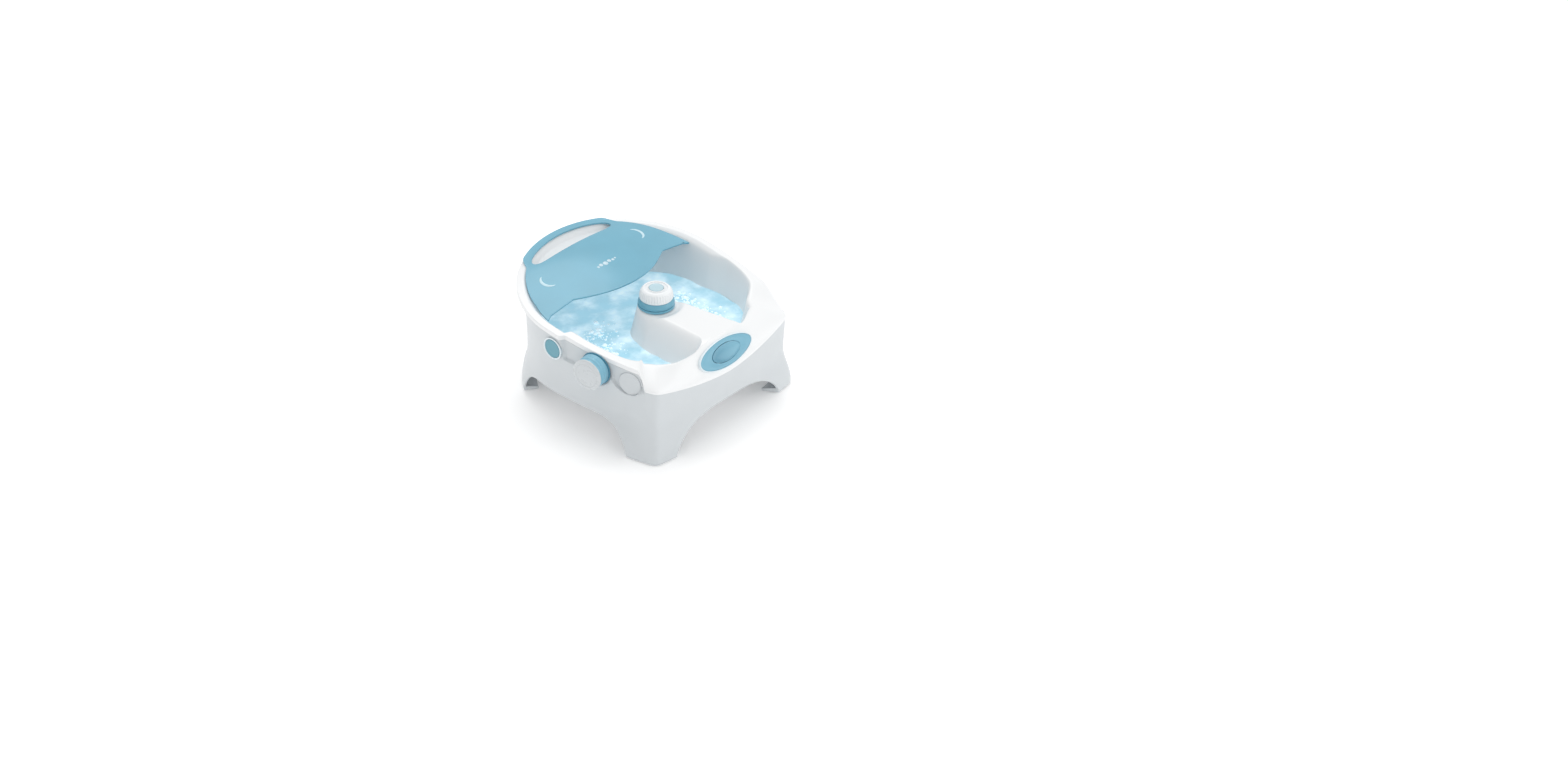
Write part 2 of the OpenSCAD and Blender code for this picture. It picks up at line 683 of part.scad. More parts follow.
// docks and docked heads
module cup(r, depth, ring, peg) {
    difference() {
        union() {
            rod_x(r, -depth, 0.8);
            rod_x(r + ring, 0.7, 2);
        }
        rod_x(r - 1.6, 2 - depth, 4);
    }
    rod_x(peg_r, 1 - depth, peg);
}
module dock_cup_front() {
    color([0.82, 0.84, 0.85])
    on_left(dock_front_y, dock_front_h, side_inset + niche_depth)
    cup(cup_r, 5.5, 1, 1);
}
module dock_cup_middle() {
    color([0.36, 0.6, 0.72])
    on_left(dock_mid_y, dock_h, side_inset + niche_depth)
    cup(cup_r, 5.5, head_r - cup_r + 1.5, 5.5);
}
module dock_cup_rear() {
    color([0.86, 0.88, 0.9])
    on_left(dock_rear_y, dock_h + 4, side_inset)
    cup(small_head_r + 2.1, 9, 0.9, 1);
}
module roller_head_body() {
    color([0.42, 0.66, 0.78])
    on_left(dock_mid_y, dock_h, side_inset + niche_depth)
    difference() {
        union() {
            rod_x(cup_r - 2.4, -3, 3);
            rod_x(head_r, 2.8, 16);
            rod_x(head_r - 1.5, 15, head_out - 4);
        }
        rod_x(peg_r + run_gap, -5, 6.5);
    }
}
module roller_head_face() {
    color([0.9, 0.92, 0.93])
    on_left(dock_mid_y, dock_h, side_inset + niche_depth)
    difference() {
        union() {
            rod_x(head_r + 0.5, head_out - 3.7, head_out);
            rod_x(head_r - 3, head_out - 4, head_out + 0.8);
        }
        difference() {
            rod_x(head_r - 5, head_out + 0.2, head_out + 2);
            rod_x(head_r - 7, head_out - 1, head_out + 3);
        }
    }
}
module small_head() {
    color([0.44, 0.66, 0.74])
    on_left(dock_rear_y, dock_h + 4, side_inset)
    difference() {
        union() {
            rod_x(small_head_r - 0.5, -6.5, 0);
            rod_x(small_head_r, 0, 2.4);
        }
        rod_x(peg_r + run_gap, -8, 1.2);
        for (z = [-6, 0, 6])
            translate([2.4, 0, z])
            cube([1.6, 12, 1.6], center = true);
    }
}

// splash guard
function guard_z(x, y) =
    guard_front_h + guard_rise * ease(-10, 160 * ky, y) - guard_fall * pow(abs(x) / (166 * kx), 1.8);
function guard_over(th) = ease(55, 63, th > 90 ? 180 - th : th);
function guard_edge(th) =
    let (p = plan_p(th, 17), seat = rim_band + rim_z(p.y) - guard_z(p.x, p.y) + guard_t + 2.8)
    mix(max(13, min(rim_band + ledge_w + 1, seat)), 1.5, guard_over(th));
function guard_front(x) = 45 * ky - 35 * ky * pow(max(0, 1 - pow(abs(x) / (104 * kx), 2)), 1.1);
function guard_p(th, u, t) =
    let (o = plan_p(th, guard_edge(th)), fx = 153 * kx * cos(th) / cos(14), f = [fx, guard_front(fx)])
    let (p = f + (o - f) * u, h = guard_z(p.x, p.y), over = pow(guard_over(th), 0.4) * ease(0.88, 1, u))
    [p.x, p.y, mix(h, rim_z(p.y) + guard_t + 2, over) - t];
guard_dirs = [for (i = [0:44]) 14 + i * 152 / 44];
guard_rows = [0, 0.04, 0.15, 0.28, 0.42, 0.56, 0.7, 0.8, 0.88, 0.94, 1];
module slab(n, k, tops, lows) {
    m = n * k;
    function quads(s, off) = [for (i = [0:k - 2]) for (j = [0:n - 2]) for (h = [0, 1])
        let (a = off + i * n + j, b = a + 1, c = a + n, d = c + 1)
        s > 0 ? (h == 0 ? [a, b, c] : [b, d, c]) : (h == 0 ? [a, c, b] : [b, c, d])];
    loop = concat([for (j = [0:n - 1]) j], [for (i = [1:k - 1]) i * n + n - 1],
        [for (j = [n - 2:-1:0]) (k - 1) * n + j], [for (i = [k - 2:-1:1]) i * n]);
    walls = [for (q = [0:len(loop) - 1]) for (h = [0, 1])
        let (a = loop[q], b = loop[(q + 1) % len(loop)], c = a + m, d = b + m)
        h == 0 ? [a, c, b] : [b, c, d]];
    polyhedron(points = concat(tops, lows), faces = concat(quads(1, 0), quads(-1, m), walls));
}
module splash_guard() {
    tops = [for (u = guard_rows) for (th = guard_dirs) guard_p(th, u, 0)];
    lows = [for (u = guard_rows) for (th = guard_dirs) guard_p(th, u, guard_t)];
    arc = [for (i = [0:24]) let (x = slot_half_w * (1 - i / 12), th = acos(x / plan_r(65, 14)))
        [plan_r(th, 14) * cos(th), max(slot_y * ky, plan_r(th, 14) * sin(th))]];
    color([0.54, 0.75, 0.84]) {
        mirror_x()
        translate([97 * kx, 103 * ky, guard_z(97 * kx, 103 * ky) - 0.9])
        rotate([-6, 8, -80])
        rotate_extrude(angle = 150)
        translate([15, 0])
        circle(r = 1.6, $fn = 24);
        difference() {
            slab(len(guard_dirs), len(guard_rows), tops, lows);
            translate([0, 0, rim_back_h - 30])
            linear_extrude(60)
            polygon(concat([[slot_half_w, slot_y * ky]], arc, [[-slot_half_w, slot_y * ky]]));
        }
    }
}

// under the bath
module heater_plates() {
    color([0.7, 0.66, 0.6])
    mirror_x()
    difference() {
        translate([strip_x - 30, 46 * ky, floor_h - bath_t - 3.2])
        cube([44, 40, 2.8]);
        translate([strip_x - 8, 66 * ky, 0])
        rod_z(4, floor_h - 12, floor_h);
    }
}
module thermal_cutout() {
    color([0.25, 0.26, 0.28])
    mirror_x()
    translate([strip_x - 8, 66 * ky, 0]) {
        rod_z(3.8, floor_h - bath_t - 3.2, floor_h - bath_t - 0.6);
        rod_z(7, floor_h - bath_t - 9.4, floor_h - bath_t - 3.4);
    }
}
module blower_casing() {
    color([0.35, 0.37, 0.4])
    translate([0, blower_y, 0])
    difference() {
        union() {
            rod_z(blower_r, blower_z, blower_z + blower_t);
            mirror_x()
            translate([0, 0, air_z])
            rod_x(7, 0, blower_r + 6);
        }
        rod_z(blower_r - 2, blower_z + 2, blower_z + blower_t - 2);
        rod_z(9, blower_z - 1, blower_z + 4);
        rod_z(4, blower_z + blower_t - 4, blower_z + blower_t + 1);
        mirror_x()
        translate([0, 0, air_z])
        rod_x(5, blower_r - 4, blower_r + 7);
    }
}
module blower_impeller() {
    color([0.9, 0.9, 0.86])
    translate([0, blower_y, 0])
    difference() {
        union() {
            rod_z(blower_r - 6, blower_z + blower_t - 6, blower_z + blower_t - 4);
            rod_z(6, blower_z + 8, blower_z + blower_t - 4);
            for (a = [0:30:330])
                rotate([0, 0, a])
                translate([10, -0.7, blower_z + 6])
                cube([blower_r - 17, 1.4, blower_t - 11]);
        }
        rod_z(1.5 + run_gap, blower_z, blower_z + blower_t);
    }
}
module blower_motor() {
    color([0.66, 0.68, 0.71])
    translate([0, blower_y, 0]) {
        rod_z(14, blower_z + blower_t + 0.3, blower_z + blower_t + 26);
        rod_z(1.5, blower_z + 9, blower_z + blower_t + 2);
    }
}
module air_manifolds() {
    z0 = floor_h - bath_t - 11.3;
    y0 = blower_y - 8;
    color([0.78, 0.8, 0.82])
    mirror_x()
    difference() {
        union() {
            translate([strip_x - 7, y0, z0])
            cube([14, strip_y1 - y0, 11]);
            translate([0, blower_y, air_z])
            rod_x(3.4, strip_x - 16, strip_x - 6);
        }
        translate([strip_x - 5, strip_y0 + 2, z0 + 2])
        cube([10, strip_y1 - strip_y0 - 4, 11]);
        translate([strip_x - 5, y0 + 2, z0 + 2])
        cube([10, strip_y0 - y0 + 6, 7]);
        translate([0, blower_y, air_z])
        rod_x(2.2, strip_x - 17, strip_x);
    }
}
module air_hoses() {
    color([0.75, 0.8, 0.82])
    mirror_x()
    translate([0, blower_y, air_z])
    difference() {
        union() {
            rod_x(4.9, blower_r - 1, strip_x - 7.3);
            rod_x(8.5, blower_r + 6.3, blower_r + 12);
        }
        rod_x(3.6, blower_r - 3, strip_x);
    }
}
module vibration_motor() {
    color([0.66, 0.68, 0.71])
    translate(vib_p) {
        rod_y(9, -18, 12);
        rod_y(3.5, 12, 14);
        rod_y(1.5, 12, 26);
    }
}
module vibration_bracket() {
    color([0.55, 0.57, 0.6])
    translate(vib_p)
    difference() {
        translate([-14, -8, base_h + base_t + 0.3 - vib_p.z])
        cube([28, 14, 18]);
        rod_y(9.3, -20, 20);
        translate([-20, -20, 3])
        cube([40, 40, 20]);
    }
}
module vibration_weight() {
    color([0.5, 0.5, 0.52])
    translate(vib_p)
    difference() {
        rod_y(8.5, 15, 24);
        rod_y(1.5 + run_gap, 14, 25);
        translate([-12, 14, 2.5])
        cube([24, 12, 12]);
    }
}
module control_board() {
    color([0.2, 0.42, 0.3])
    translate([-86 * kx, 64 * ky, base_h + base_t + 4]) {
        cube([52, 38, 1.6]);
        for (p = [[4, 4], [48, 4], [4, 34], [48, 34]])
            translate([p.x, p.y, -3.7])
            cylinder(r = 2.2, h = 4);
        translate([14, 12, 1])
        cylinder(r = 5, h = 13);
        translate([27, 8, 1])
        cube([16, 14, 10]);
        translate([10, 26, 1])
        cube([12, 6, 9]);
    }
}
module cord_gland() {
    color([0.2, 0.21, 0.23])
    translate([0, plan_r(90, wall_d(columns[40], gland_z)), gland_z])
    difference() {
        union() {
            rod_y(6, -8, 3);
            rod_y(9, 2, 5);
            rod_y(8.5, -7.5, -5);
        }
        rod_y(3.2, -10, 8);
    }
}

outer_housing();
basin();
base_cover();
rubber_feet();
base_screws();
air_strips();
sole_nodes();
toe_bezel();
toe_button();
toe_switch();
hub_collar();
spindle_seal();
spindle_bearing();
spindle();
spindle_gear();
hub_head_body();
hub_knob();
hub_disc();
drive_motor();
motor_bracket();
motor_pinion();
dock_cup_front();
dock_cup_middle();
dock_cup_rear();
roller_head_body();
roller_head_face();
small_head();
splash_guard();
heater_plates();
thermal_cutout();
blower_casing();
blower_impeller();
blower_motor();
air_manifolds();
air_hoses();
vibration_motor();
vibration_bracket();
vibration_weight();
control_board();
cord_gland();
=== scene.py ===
"""Foot spa basin: smooth mouldings, finishes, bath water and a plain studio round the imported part.

Shape formulas work in millimetres and meshes are made in metres. +Z is up, -Y is the end with
the oval control, and -X is the side with the docks.
"""

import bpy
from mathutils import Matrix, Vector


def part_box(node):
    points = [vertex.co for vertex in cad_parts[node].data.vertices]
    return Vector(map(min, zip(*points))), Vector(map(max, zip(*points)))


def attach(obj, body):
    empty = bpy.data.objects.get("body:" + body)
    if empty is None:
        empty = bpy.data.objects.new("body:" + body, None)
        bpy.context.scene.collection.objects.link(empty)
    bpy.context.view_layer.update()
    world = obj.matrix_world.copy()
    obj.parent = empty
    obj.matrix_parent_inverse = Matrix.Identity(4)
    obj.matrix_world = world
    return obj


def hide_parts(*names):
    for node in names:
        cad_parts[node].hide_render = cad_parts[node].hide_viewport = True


bl_info = {
    "name": "Foot Spa Basin",
    "version": (1, 0, 0),
    "blender": (4, 5, 0),
    "location": "View3D > Sidebar > Foot Spa",
    "description": "Builds a foot spa basin with its splash hood, hub, docks and bath water",
    "category": "Object",
}

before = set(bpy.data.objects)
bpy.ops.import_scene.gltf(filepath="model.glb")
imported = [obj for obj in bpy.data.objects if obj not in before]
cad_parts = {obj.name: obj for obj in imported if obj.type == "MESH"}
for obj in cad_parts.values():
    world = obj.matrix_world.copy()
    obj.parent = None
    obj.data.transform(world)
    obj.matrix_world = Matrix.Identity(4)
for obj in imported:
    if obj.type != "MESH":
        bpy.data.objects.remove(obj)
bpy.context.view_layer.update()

import math
from types import SimpleNamespace

import bmesh
import bpy
import numpy as np
from bpy.props import FloatProperty, FloatVectorProperty, IntProperty, PointerProperty
from mathutils import Matrix, Vector

MM = 0.001


def box_mm(node):
    """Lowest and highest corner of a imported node, in millimetres."""
    low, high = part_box(node)
    return np.array(low) / MM, np.array(high) / MM


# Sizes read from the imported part
BASIN_LOW, BASIN_HIGH = box_mm("basin")
HALF_W = float(BASIN_HIGH[0])
HALF_L = float(BASIN_HIGH[1])
RIM_BACK_H = float(BASIN_HIGH[2])
KX = HALF_W / 185
KY = HALF_L / 194.5
HUB_LOW, HUB_HIGH = box_mm("hub_collar")
HUB_Y = float(HUB_LOW[1] + HUB_HIGH[1]) / 2
HUB_SEAT_H = float(HUB_LOW[2]) - 0.3
HEAD_LOW, HEAD_HIGH = box_mm("hub_head_body")
KNOB_LOW, KNOB_HIGH = box_mm("hub_knob")

# Plan outline of the mouldings
RIM_FRONT_H = 153.0
RIM_MID_H = (RIM_BACK_H + RIM_FRONT_H) / 2 - 2.2
FRONT_HALF = 154.0 * KX
FRONT_BOW = 13.5
WIDEST_Y = 25.0
CORNER_Y = HALF_L - FRONT_BOW
CORNER_A = math.atan2(CORNER_Y, FRONT_HALF)

# Bath
FLOOR_H = 76.0
WALL_T = 3.0
RIM_BAND = 12.0
LEDGE_W = 8.0
LIP_H = 7.0
APRON_RUN = 23.5
CREST_H = 151.0
CREASE_MID_H = 108.0
CREASE_END_H = 131.0
RIDGE_H = 160.0
RIDGE_HALF_W = 31.0
HUB_SEAT_R = 33.5

# Housing
SIDE_INSET = 3.5
BACK_INSET = RIM_BAND + 1
NICHE_DEPTH = 5.0
WAIST_H = 72.0
PART_GAP = 0.4
FOOT_H = 2.5
NICHE_Y0 = -160.0 * KY
NICHE_Y1 = -6.0 * KY

# Docks
CUP_R = 19.0
DOCK_H = 135.0
HEAD_R = 25.5
HEAD_OUT = 26.0
SMALL_R = 15.5
DOCK_MID_Y = -70.0 * KY
DOCK_FRONT_Y = -130.0 * KY
DOCK_REAR_Y = 13.0 * KY
DOCK_FRONT_H = DOCK_H - 8

# Toe panel
PANEL_A = 60.0
PANEL_B = 23.5
BUTTON_A = 31.0
BUTTON_B = 13.5
PANEL_TILT = 62.0
PANEL_Y = -CORNER_Y - 2.5
PANEL_H = (CREASE_MID_H + RIDGE_H) / 2

# Splash hood
HOOD_T = 2.5
HOOD_FRONT_H = 182.5
HOOD_RISE = 17.5
HOOD_FALL = 17.0
SLOT_HALF_W = 88.0
SLOT_Y = 141.0 * KY
HOOD_FIRST = math.radians(14)
HOOD_LAST = math.radians(166)

WATER_H = 105.0

# The wells' front corners: how far each is rounded in, and over how many degrees
CORNER_RIGHT = (20, 17)
CORNER_LEFT = (14, 8)

# Light that a surface gives off: painted light on the water and the bubbles, to come as bright as in plain
# daylight, and an even glow that keeps the floor white
WATER_PAINTED_LIGHT = 1.85
BUBBLE_PAINTED_LIGHT = 0.35
FLOOR_GLOW = 0.13

# Lights and camera, in metres
KEY_PLACE = (0.7, 1.0, 2.5)
KEY_SIZE = 1.6
FILL_PLACE = (1.5, -2.6, 1.5)
FILL_SIZE = 2.0
CAMERA_PLACE = (-2.2656, -2.1456, 2.1024)
CAMERA_AIM = (0, -0.0165, 0.0782)
CAMERA_SHIFT = (0.0875, -0.0263)


# ------------------------------------------------------------------ sizes and colours


def linear(red, green, blue):
    """A colour given in the usual 0 to 255 steps, as scene-linear values."""
    parts = [v / 255 for v in (red, green, blue)]
    return tuple(v / 12.92 if v <= 0.04045 else ((v + 0.055) / 1.055) ** 2.4 for v in parts)


def tint(name, about, red, green, blue):
    return FloatVectorProperty(
        name=name, description=about, default=linear(red, green, blue), subtype="COLOR", size=3, min=0, max=1
    )


def length(name, about, millimetres):
    return FloatProperty(name=name, description=about, default=millimetres * MM, min=0, unit="LENGTH")


def whole(name, about, count, low, high):
    return IntProperty(name=name, description=about, default=count, min=low, max=high)


def power(name, about, watts):
    return FloatProperty(name=name, description=about, default=watts, unit="POWER")


class MouldingSizes(bpy.types.PropertyGroup):
    """Mesh density and small radii of the smooth mouldings."""

    columns: whole("Columns", "Mesh columns round the basin", 600, 120, 1200)
    hood_columns: whole("Hood columns", "Mesh columns across the splash hood", 300, 60, 900)
    edge_round: length("Edge round", "Rounding of the housing and hood edges", 0.6)
    dome_round: length("Part round", "Rounding of knobs, rings and heads", 1.0)
    border: length("Panel border", "Width of the pale border round the oval panel", 2.2)
    crescent_r: length("Crescent radius", "Radius of the two raised crescents on the hood", 15.0)


class FinishColours(bpy.types.PropertyGroup):
    """Colours of the moulded parts."""

    white: tint("Shell white", "Bath and rim", 214, 217, 220)
    housing: tint("Housing white", "Outer housing", 204, 209, 212)
    hood: tint("Hood blue", "Splash hood and hub body", 106, 170, 193)
    panel: tint("Panel blue", "Oval toe panel", 118, 176, 198)
    # Painted shade: this darker blue stands for the shade inside the dished button, darkest at its left end
    dish: tint("Dish blue", "Dished toe button", 96, 156, 180)
    liner: tint("Liner blue", "Ring behind the docked head", 84, 146, 172)
    head: tint("Head blue", "Side of the docked head", 128, 184, 206)
    face: tint("Face grey", "Face of the docked head", 202, 207, 210)
    disc: tint("Hub disc", "Centre of the hub", 184, 212, 222)
    small: tint("Small head blue", "Flush head at the rear dock", 104, 160, 176)
    pale: tint("Pale edge", "Border of the oval panel and dock rings", 226, 237, 242)
    water: tint("Water", "Tint of the bath water", 188, 226, 240)
    water_deep: tint("Deep water", "Water between the patches of foam", 166, 210, 227)
    foam: tint("Foam", "Patches of foam on the water", 236, 246, 250)
    # Painted highlight: the crescents' pale blue stands for the light caught on the edge of two round bumps
    crescent: tint("Crescent blue", "Raised crescents on the hood", 196, 226, 236)
    dots: tint("Bubble row", "Raised row of bubbles on the hood", 196, 220, 230)
    knob: tint("Knob white", "Hub's knob", 238, 241, 243)
    film: tint("Bubble film", "Small bubbles on the water", 222, 240, 247)


class StageSettings(bpy.types.PropertyGroup):
    """Floor, lights and camera."""

    floor_size: length("Floor size", "Edge of the square floor", 14000)
    key_power: power("Key light", "Power of the soft key light", 17)
    fill_power: power("Fill light", "Power of the fill light", 15)
    sky: FloatProperty(name="Sky", description="Strength of the even white surround", default=0.86, min=0)
    lens: FloatProperty(name="Lens", description="Focal length in millimetres", default=52.96, min=10)


def settings():
    return bpy.context.scene.foot_spa


# ------------------------------------------------------------------ shape formulas


def mix(a, b, t):
    return a + (b - a) * t


def ease(a, b, x):
    t = np.clip((x - a) / (b - a), 0, 1)
    return t * t * (3 - 2 * t)


def plan_r(th, d):
    """Radius of the plan outline in direction th, moved in by d: back ellipse, side and front curves."""
    c, s = np.abs(np.cos(th)), np.sin(th)
    w, wc, b1 = HALF_W - d, FRONT_HALF - d, CORNER_Y - d
    bb = HALF_L - d - WIDEST_Y
    qa = c * c / (w * w) + s * s / (bb * bb)
    qb = -s * WIDEST_Y / (bb * bb)
    qc = WIDEST_Y**2 / (bb * bb) - 1
    back = (-qb + np.sqrt(qb * qb - qa * qc)) / qa
    k = (w - wc) / (WIDEST_Y + b1) ** 2
    num = w - k * WIDEST_Y**2
    lin = c - 2 * k * WIDEST_Y * s
    side = 2 * num / (lin + np.sqrt(np.maximum(lin * lin + 4 * k * s * s * num, 1e-6)))
    sf = np.maximum(-s, 1e-6)
    fa = FRONT_BOW * c * c / (wc * wc)
    front = 2 * (b1 + FRONT_BOW) / (sf + np.sqrt(sf * sf + 4 * fa * (b1 + FRONT_BOW)))
    r = np.where(side * s < WIDEST_Y, side, back)
    m = np.minimum(r, front)
    corner = m * ((r / m) ** -60 + (front / m) ** -60) ** (-1 / 60)
    return np.where(s > -0.05, r, corner)


def plan(th, d):
    r = plan_r(th, d)
    return r * np.cos(th), r * np.sin(th)


def side_x(y):
    return HALF_W - (HALF_W - FRONT_HALF) * ((y - WIDEST_Y) / (WIDEST_Y + CORNER_Y)) ** 2


def rim_z(y):
    t = (y + CORNER_Y) / (CORNER_Y + HALF_L)
    ends = RIM_FRONT_H * (1 - t) * (1 - 2 * t) + RIM_BACK_H * t * (2 * t - 1)
    return ends + 4 * RIM_MID_H * t * (1 - t)


def from_side(th):
    """Degrees from straight sideways, on either side, and negative towards the front."""
    return np.degrees(np.where(th > math.pi / 2, math.pi - th, th))


def is_front(x, y):
    """1 on the front apron and 0 on the rim; the change is slower on the right than on the left."""
    return 1 - ease(np.where(x > 0, 4, 18), np.where(x > 0, 72, 30), y + CORNER_Y)


def crest_z(x):
    return CREST_H + (RIDGE_H - CREST_H) * np.exp(-((x / 55) ** 2))


def crease_z(x):
    return mix(CREASE_MID_H, CREASE_END_H, np.minimum(np.abs(x) / FRONT_HALF, 1) ** 1.6)


def in_niche(x, y):
    band = ease(NICHE_Y0 - 3, NICHE_Y0 + 3, y) * (1 - ease(NICHE_Y1 - 3, NICHE_Y1 + 3, y))
    return np.where(x > 0, 0, band)


def column_set(th):
    """Everything that depends on the direction alone: outline, rim edges, insets and heights."""
    c = SimpleNamespace(th=th)
    c.x, c.y = plan(th, 0)
    c.front = is_front(c.x, c.y)
    c.niche = in_niche(c.x, c.y)
    c.d0 = c.niche * (SIDE_INSET + NICHE_DEPTH)
    turn = from_side(th) + math.degrees(CORNER_A)
    right, left = (depth * np.exp(-((turn / width) ** 2)) for depth, width in (CORNER_RIGHT, CORNER_LEFT))
    c.d1 = c.d0 + mix(RIM_BAND, APRON_RUN, c.front) + 3 * c.niche + np.where(np.cos(th) > 0, right, left)
    c.ex, c.ey = plan(th, c.d1)
    c.top = mix(rim_z(c.y), crest_z(c.ex), c.front)
    c.edge = mix(rim_z(c.y) - 1, crease_z(c.x), c.front)
    c.lip = c.edge - mix(LIP_H, 4, c.front)
    return c


def left_soft(x, y):
    return np.where(x > 0, 0, 1 - ease(10, 60, y))


def slot_shelf(x, y, top):
    """Height above the floor of the shelf under the hand slot."""
    along = ease(SLOT_Y - 8, SLOT_Y - 2, y)
    return (top - FLOOR_H - 10) * along * (1 - ease(SLOT_HALF_W * KX + 2, SLOT_HALF_W * KX + 9, np.abs(x)))


def bath_z(x, y, w, t, top):
    """Height of the bath at plan point x, y, which lies w in from the rim's inner edge."""
    led, soft, v = LEDGE_W * ease(-40, 0, y), left_soft(x, y), w + t
    slope = np.maximum(0, 1 - (v - led) / mix(37, 41, soft)) ** mix(3.2, 2.2, soft)
    deep = np.maximum(slot_shelf(x, y, top), (top - FLOOR_H - led) * slope)
    wall = np.where(v < led, top - FLOOR_H - v, deep)
    tall = top - FLOOR_H
    a = np.maximum(0, wall) / tall
    q = np.hypot(x, np.maximum(0, y - HUB_Y))
    round_side = np.where(x > 0, 0, ease(10, -20, y - HUB_Y))
    off = q - RIDGE_HALF_W - 0.12 * np.maximum(0, HUB_Y - y) * (1 - round_side) + t
    sharp = np.clip(1 - off / 28, 0, 1) ** 2.2
    b = mix(sharp, (1 - ease(-8, 38, off)) ** 1.15, round_side)
    beside_hub = ease(HUB_SEAT_R, HUB_SEAT_R + 12, np.hypot(x, y - HUB_Y))
    crown = mix(HUB_SEAT_H, RIDGE_H, np.where(y > HUB_Y, 0, beside_hub)) - FLOOR_H
    share = np.minimum(1, (a**2.2 + b**2.2) ** (1 / 2.2))
    return FLOOR_H - t + mix(crown, tall, a**4 / (a**4 + b**4 + 1e-6)) * share


def spine_y(th):
    """Where each column of the bath ends, on the ridge's centre line."""
    first = math.degrees(math.atan2(HUB_Y, HALF_W))
    return HUB_Y + (-HUB_Y - 0.77 * HALF_L) * np.clip((first - from_side(th)) / (90 + first), 0, 1)


def house_top(c):
    side_band = ease(NICHE_Y0 - 9, NICHE_Y0 - 5, c.y) * (1 - ease(NICHE_Y1 + 5, NICHE_Y1 + 9, c.y))
    far = np.where(c.x > 0, 42, 0)
    under_lip = np.maximum(1 - ease(34 + far, 42 + far, c.y + CORNER_Y), np.where(c.x > 0, 0, side_band))
    free = rim_z(c.y) - mix(3.8, 8, ease(0, 120 * KY, c.y))
    return mix(free, c.lip - PART_GAP, under_lip)


def scoop(y, z, centre_y, centre_z, radius):
    """1 inside a U-shaped recess that is open at its top."""
    away = np.hypot(y - centre_y, np.minimum(0, z - centre_z))
    return 1 - ease(radius - 1.6, radius + 1.6, away)


def niche_recess(c, y, z):
    """Share of the niche's depth at a point of the wall."""
    band = c.niche * ease(124, 128, z)
    docks = scoop(y, z, DOCK_MID_Y, DOCK_H, HEAD_R + 4.5)
    docks = np.maximum(docks, scoop(y, z, DOCK_FRONT_Y, DOCK_H, 27))
    return np.maximum(band, np.where(c.x > 0, 0, docks))


def wall_d(c, z):
    """How far the housing wall lies in from the outline at height z."""
    back = ease(0, 120 * KY, c.y)
    dt = mix(mix(SIDE_INSET, BACK_INSET, back), 1, c.front)
    near_front = 1 - ease(8, 60, c.y + CORNER_Y)
    dw = mix(mix(SIDE_INSET + 6.5, BACK_INSET + 2, back), 2, near_front)
    df = mix(-8, 4, ease(-120, 40, c.y))
    low = mix(df, dw, ease(8, WAIST_H - 2, z))
    high = mix(dw, dt, ease(WAIST_H, house_top(c), z))
    return np.where(z > WAIST_H, high, low) + NICHE_DEPTH * niche_recess(c, c.y, z)


def arch(t, height, power):
    """Height of a leg arch at t, from -1 to 1 across it."""
    return height * np.maximum(0, 1 - np.abs(t) ** power) ** (1 / 1.7)


def foot_line(th):
    """Height of the housing's lower edge in each direction, with the four arches."""
    x, y = plan(th, 6.0)
    front = np.where(y < -149 * KY, arch(x / (113 * KX), 55, 3), 0)
    back = np.where(y > 144 * KY, arch(x / (75 * KX), 49, 4), 0)
    sides = np.where(np.abs(x) > 125 * KX, arch((y + 9 * KY) / (117 * KY), 53, 6), 0)
    return np.maximum(FOOT_H, np.maximum(front, np.maximum(back, sides)))


def spread(samples, points, count):
    """count values of samples, evenly spaced along the curve through points."""
    steps = np.sqrt((np.diff(points, axis=0) ** 2).sum(1))
    along = np.concatenate([[0], np.cumsum(steps)])
    return np.interp(np.linspace(0, along[-1], count), along, samples)


def mirrored_directions(count):
    """Directions all round, even along the rim and the same on both sides of the centre line."""
    fine = np.linspace(-math.pi / 2, math.pi / 2, 20001)
    x, y = plan(fine, 0)
    half = spread(fine, np.stack([x, y], 1), count // 2 + 1)
    return np.concatenate([half, math.pi - half[-2:0:-1]])


def foot_directions(count):
    """Directions all round, even along the housing's lower edge."""
    fine = np.linspace(-math.pi / 2, 1.5 * math.pi, 60001)
    x, y = plan(fine, 0)
    return spread(fine, np.stack([x, y, foot_line(fine)], 1), count + 1)[:-1]


def softened(rows, passes, first, last):
    """Rows of points with the bends between first and last eased, along each column."""
    out = rows.copy()
    for _ in range(passes):
        part = out[first - 1 : last + 1]
        out[first:last] = 0.25 * part[:-2] + 0.5 * part[1:-1] + 0.25 * part[2:]
    return out


# ------------------------------------------------------------------ mesh tools


def make_mesh(name, points, faces, merge=0.0):
    """A mesh object from points in millimetres, with its faces turned outwards."""
    mesh = bpy.data.meshes.new(name)
    mesh.from_pydata((np.asarray(points, float).reshape(-1, 3) * MM).tolist(), [], faces)
    work = bmesh.new()
    work.from_mesh(mesh)
    if merge:
        bmesh.ops.remove_doubles(work, verts=work.verts, dist=merge * MM)
        bmesh.ops.dissolve_degenerate(work, edges=work.edges, dist=merge * MM * 0.5)
    bmesh.ops.recalc_face_normals(work, faces=work.faces)
    work.to_mesh(mesh)
    work.free()
    made = bpy.data.objects.new(name, mesh)
    bpy.context.scene.collection.objects.link(made)
    return made


def grid_faces(rows, cols, around=True, closed=False):
    """Quads of a grid of points; around joins its last column to its first, closed its last row."""
    faces = []
    for i in range(rows if closed else rows - 1):
        for j in range(cols if around else cols - 1):
            a, b = i * cols, ((i + 1) % rows) * cols
            k = (j + 1) % cols
            faces.append((a + j, a + k, b + k, b + j))
    return faces


def close_ends(made):
    """Fills the open ends of a tube."""
    work = bmesh.new()
    work.from_mesh(made.data)
    bmesh.ops.holes_fill(work, edges=[e for e in work.edges if e.is_boundary], sides=0)
    bmesh.ops.recalc_face_normals(work, faces=work.faces)
    work.to_mesh(made.data)
    work.free()


